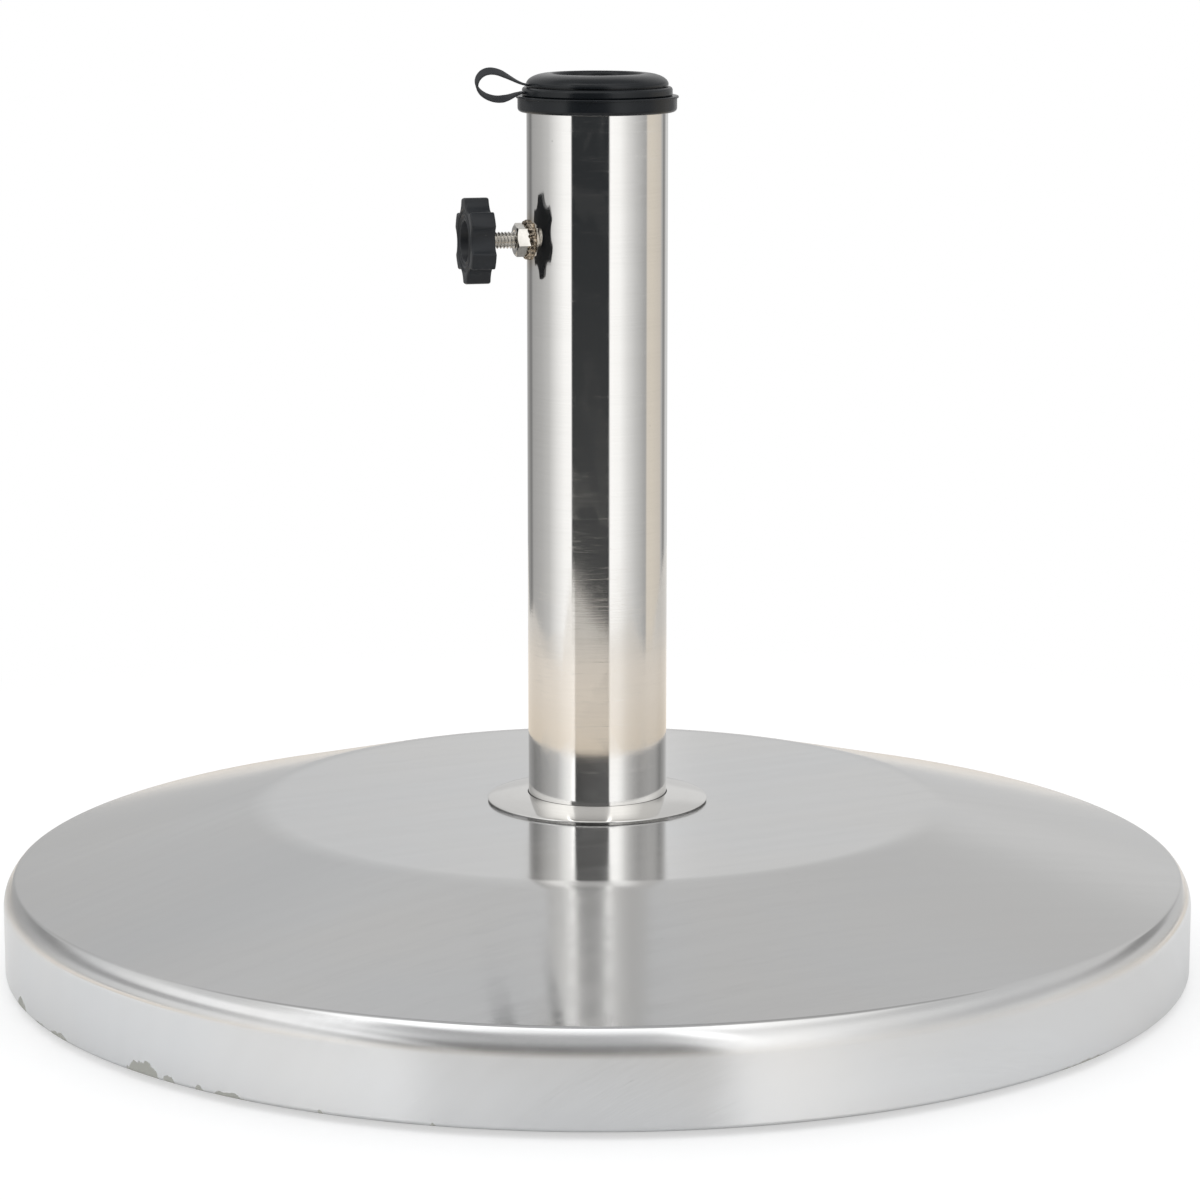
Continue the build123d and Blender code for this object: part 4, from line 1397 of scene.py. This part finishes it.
@dataclass(frozen=True)
class Studio:
    """Plain pale floor, soft light from all sides, and the camera."""

    lens: float = 119.51
    away: float = 1.4799
    above: float = 0.4153
    pitch: float = 10.58
    azimuth: float = 14.0
    shift: float = 0.00225
    even: Colour = (0.98, 0.99, 1.0)
    white: Colour = (1.0, 1.0, 1.0)
    # thin haze over what is seen lower down: where it starts, where it is full, how much
    veil: tuple[float, float, float] = (-4.0, -11.0, 0.045)
    veil_tone: Colour = (0.9, 0.88, 0.84)
    bands: tuple[Band, ...] = (
        LEVEL,
        HORIZON,
        LOW,
        Band(22, 30, (
            (-180, 0.74), (-165, 0.70), (-150, 0.55), (-129, 0.68), (-105, 1.0), (-86, 1.25), (-60, 1.45),
            (-44, 1.40), (-40, 0.80), (-34, 0.70), (12, 0.70), (19, 0.85), (24, 1.45), (45, 1.42),
            (66, 1.10), (87, 0.80), (135, 0.74), (160, 0.65), (174, 0.65), (180, 0.70),
        )),
        Band(38, 47, (
            (-180, 0.72), (-170, 0.76), (-150, 0.68), (-129, 0.70), (-105, 0.82), (-86, 0.80), (-74, 1.0),
            (-59, 1.25), (-57, 3.0), (-54, 3.0), (-51, 0.60), (-45, 0.46), (11, 0.46), (18, 0.60), (21, 2.4),
            (25, 2.4), (29, 1.0), (45, 0.88), (75, 0.72), (108, 0.74), (150, 0.72), (165, 0.67), (180, 0.70),
        )),
        Band(52, 58, (
            (-180, 0.40), (-160, 0.45), (-129, 0.50), (-100, 0.75), (-60, 1.80), (-35, 1.70), (-20, 1.25),
            (15, 1.25), (35, 1.60), (75, 1.15), (108, 0.60), (150, 0.45), (165, 0.40), (180, 0.40),
        )),
        Band(64, 69, (
            (-180, 0.50), (-120, 0.50), (-90, 0.80), (-63, 1.80), (-25, 1.90), (15, 1.90), (45, 1.80),
            (80, 0.80), (108, 0.50), (180, 0.50),
        )),
        Band(74, 90, ((-180, 0.55), (180, 0.55))),
    )
    # painted shade: share of the floor's tone darkened on the camera's right, where the light falls off
    right_side_painted_shade: float = 0.12
    # how far the floor reaches, by bearing
    reach: tuple[tuple[float, float], ...] = (
        (-180, 0.95), (-166, 0.93), (-152, 0.72), (-128, 0.74), (-113, 0.70), (-87, 0.64), (-60, 0.62),
        (-43, 0.86), (-26, 0.82), (-5, 0.75), (12, 0.72), (22, 0.70), (56, 0.73), (82, 0.64), (100, 0.66),
        (140, 0.90), (180, 0.95),
    )
    # the floor's tone, by distance from the middle
    papers: tuple[tuple[float, Colour], ...] = (
        (0.345, (0.98, 0.98, 0.98)), (0.385, (0.72, 0.62, 0.50)), (0.56, (0.76, 0.68, 0.59)),
        (0.72, (0.62, 0.59, 0.55)),
    )
    fibre: Colour = (0.8, 0.78, 0.75)
    # the lacquer that shiny surfaces see on the floor
    lacquer_ior: float = 1.22
    lacquer_roughness: float = 0.15
    # what the camera sees of the floor: a grey that takes the shadow, and light that lifts it to white
    shadow_tone: Colour = (0.5, 0.5, 0.5)
    lift: float = 0.56

    def build(self) -> None:
        """Sets up the view, the world, the floor and the camera."""
        bpy.context.scene.view_settings.view_transform = "Standard"
        self.world()
        self.floor()
        self.camera()

    def world(self) -> None:
        """World light: an even dome for matt surfaces, the bands for shiny ones, and a plain
        white background for the camera."""
        world = bpy.data.worlds.new("studio")
        bpy.context.scene.world = world
        world.use_nodes = True
        graph = Graph(world.node_tree)
        across, aside, up = graph.apart(graph.node("ShaderNodeTexCoord").outputs["Generated"])
        bearing = graph.plus(graph.degrees("ARCTAN2", aside, across), 90.0 + self.azimuth + 180.0)
        way_round = graph.math("FRACT", graph.math("DIVIDE", bearing, 360.0))
        height = graph.degrees("ARCSINE", up)
        seen = self.bands[0].tones(graph, way_round)
        for below, above in zip(self.bands, self.bands[1:]):
            seen = graph.mix(graph.span(height, below.high, above.low), seen, above.tones(graph, way_round))
        start, full, veil = self.veil
        seen = graph.mix(graph.span(height, start, full, 0.0, veil), seen, self.veil_tone)
        ray = graph.node("ShaderNodeLightPath").outputs
        colour = graph.mix(ray["Is Glossy Ray"], self.even, seen)
        for kind in ("Is Transmission Ray", "Is Camera Ray"):
            colour = graph.mix(ray[kind], colour, self.white)
        graph.feed(world.node_tree.nodes["Background"].inputs["Color"], colour)

    def floor(self) -> None:
        """Pale floor. The camera sees white with the object's soft shadow, fading out at the
        edge. Shiny surfaces see a lacquered floor that is warmer further out, with painted shade
        darkening it on the camera's right."""
        angles = ring_angles(180)
        bearings = (np.degrees(angles) + 90 + self.azimuth + 180) % 360 - 180
        edge_at = np.interp(bearings, *np.array(self.reach).T) / MM
        grid = polar(np.linspace(0, 1, 12)[:, None] * edge_at, np.zeros((12, 1)), angles)
        plate = Shell().add(grid).make("studio_floor")
        if plate.data.polygons[0].normal.z < 0:
            plate.data.flip_normals()
        material, graph, shader = new_material("studio_floor")
        away = graph.node("ShaderNodeVectorMath", operation="LENGTH")
        graph.feed(away.inputs[0], graph.place())
        distance = away.outputs["Value"]
        paper = self.paper(graph, distance)
        graph.fill(shader, {"Base Color": paper, "Roughness": 1.0, "Specular IOR Level": 0.0})
        lacquer = graph.fill(graph.node("ShaderNodeBsdfGlossy"), {
            "Color": graph.fill(graph.node("ShaderNodeFresnel"), {"IOR": self.lacquer_ior}).outputs[0],
            "Roughness": self.lacquer_roughness,
        })
        plain = graph.fill(graph.node("ShaderNodeBsdfDiffuse"), {"Color": opaque(self.shadow_tone)})
        lift = graph.fill(graph.node("ShaderNodeEmission"), {"Strength": self.lift})
        white = graph.node("ShaderNodeEmission")
        reflected = self.joined(graph, "ShaderNodeAddShader", shader, lacquer)
        shaded = self.joined(graph, "ShaderNodeAddShader", plain, lift)
        seen = self.joined(graph, "ShaderNodeMixShader", graph.span(distance, 0.40, 0.60), shaded, white)
        ray = graph.node("ShaderNodeLightPath").outputs
        whole = self.joined(graph, "ShaderNodeMixShader", ray["Is Camera Ray"], reflected, seen)
        graph.feed(material.node_tree.nodes["Material Output"].inputs["Surface"], whole.outputs[0])
        plate.data.materials.append(material)

    def paper(self, graph: Graph, distance: Socket) -> Socket:
        """The floor's own colour, with painted shade darkening it on the camera's right.

        Args:
            graph: the floor's node graph.
            distance: how far a point is from the middle.

        Returns:
            The colour's socket.
        """
        paper: object = self.papers[0][1]
        for (near, _), (far, tone) in zip(self.papers, self.papers[1:]):
            paper = graph.mix(graph.span(distance, near, far), paper, tone)
        paper = graph.layered(paper, (graph.noise(graph.place((6, 6, 6)), 5.0), 0.08, self.fibre))
        # painted shade: the floor's tone is mixed towards black on the camera's right
        across = graph.apart(graph.place(turn=self.azimuth))[0]
        return graph.mix(graph.span(across, 0.08, 0.30, 0.0, self.right_side_painted_shade), paper, (0.0, 0.0, 0.0))

    @staticmethod
    def joined(graph: Graph, kind: str, *parts: object) -> Node:
        """Two shaders added, or, after a factor, the first giving way to the second.

        Args:
            graph: the floor's node graph.
            kind: the joining node's kind.
            parts: shader nodes, or the factor's socket, in the order of the node's inputs.

        Returns:
            The joining node.
        """
        made = graph.node(kind)
        for socket, part in zip(made.inputs, parts):
            graph.feed(socket, part.outputs[0] if isinstance(part, Node) else part)
        return made

    def camera(self) -> None:
        """Camera at the solved place: on a circle round the tube, looking slightly down."""
        turn = math.radians(self.azimuth)
        data = bpy.data.cameras.new("camera")
        data.lens = self.lens
        data.sensor_width = 36.0
        data.shift_x = self.shift
        eye = bpy.data.objects.new("camera", data)
        eye.location = (-math.sin(turn) * self.away, -math.cos(turn) * self.away, self.above)
        eye.rotation_euler = (math.radians(90 - self.pitch), 0, -turn)
        bpy.context.scene.collection.objects.link(eye)
        bpy.context.scene.camera = eye


# ---------------------------------------------------------------- putting it together


def build_finishes() -> dict[str, Material]:
    """Every finish, by the name of its material slot."""
    effects = Effects.build()
    finishes = (
        CoverSteel(), TubeSteel(),
        PlainMetal("clamp_steel", (0.72, 0.70, 0.66), (0.40, 0.37, 0.32), 0.12),
        PlainMetal(
            "weld_metal", (0.55, 0.47, 0.37), (0.035, 0.025, 0.018), 0.20, stain_share=1.0, grain=2600.0
        ),
        PlainMetal("plated_steel", (0.62, 0.63, 0.64), (0.52, 0.50, 0.42), 0.3),
        PlainMetal("plain_steel", (0.50, 0.50, 0.49), (0.33, 0.29, 0.25), 0.38),
        CastConcrete(),
        MouldedPlastic("knob_plastic", (0.012, 0.014, 0.017), (0.018, 0.021, 0.025), 0.36, shine=0.32),
        MouldedPlastic("black_plastic", (0.006, 0.008, 0.010), (0.010, 0.012, 0.015), 0.20, shine=0.30),
        MouldedPlastic("black_strap", (0.020, 0.022, 0.026), (0.032, 0.034, 0.038), 0.50, shine=0.4),
        MouldedPlastic("natural_nylon", (0.80, 0.78, 0.72), (0.74, 0.71, 0.64), 0.35, dust=0.0),
        MouldedPlastic(
            "pad_rubber", (0.030, 0.030, 0.030), (0.050, 0.049, 0.047), 0.75, skin=900.0, skin_depth=0.00008
        ),
    )
    return {finish.name: finish.build(effects) for finish in finishes}


def main() -> None:
    """Builds the sub-assemblies in order, then the studio."""
    logging.basicConfig(level=logging.INFO, format="%(name)s %(message)s")
    shop = Workshop(build_finishes())
    for assembly in (Disc(), Anchor(), Stand(), Clamp(), Mouth()):
        assembly.build(shop)
    Studio().build()


if __name__ == "__main__":
    main()
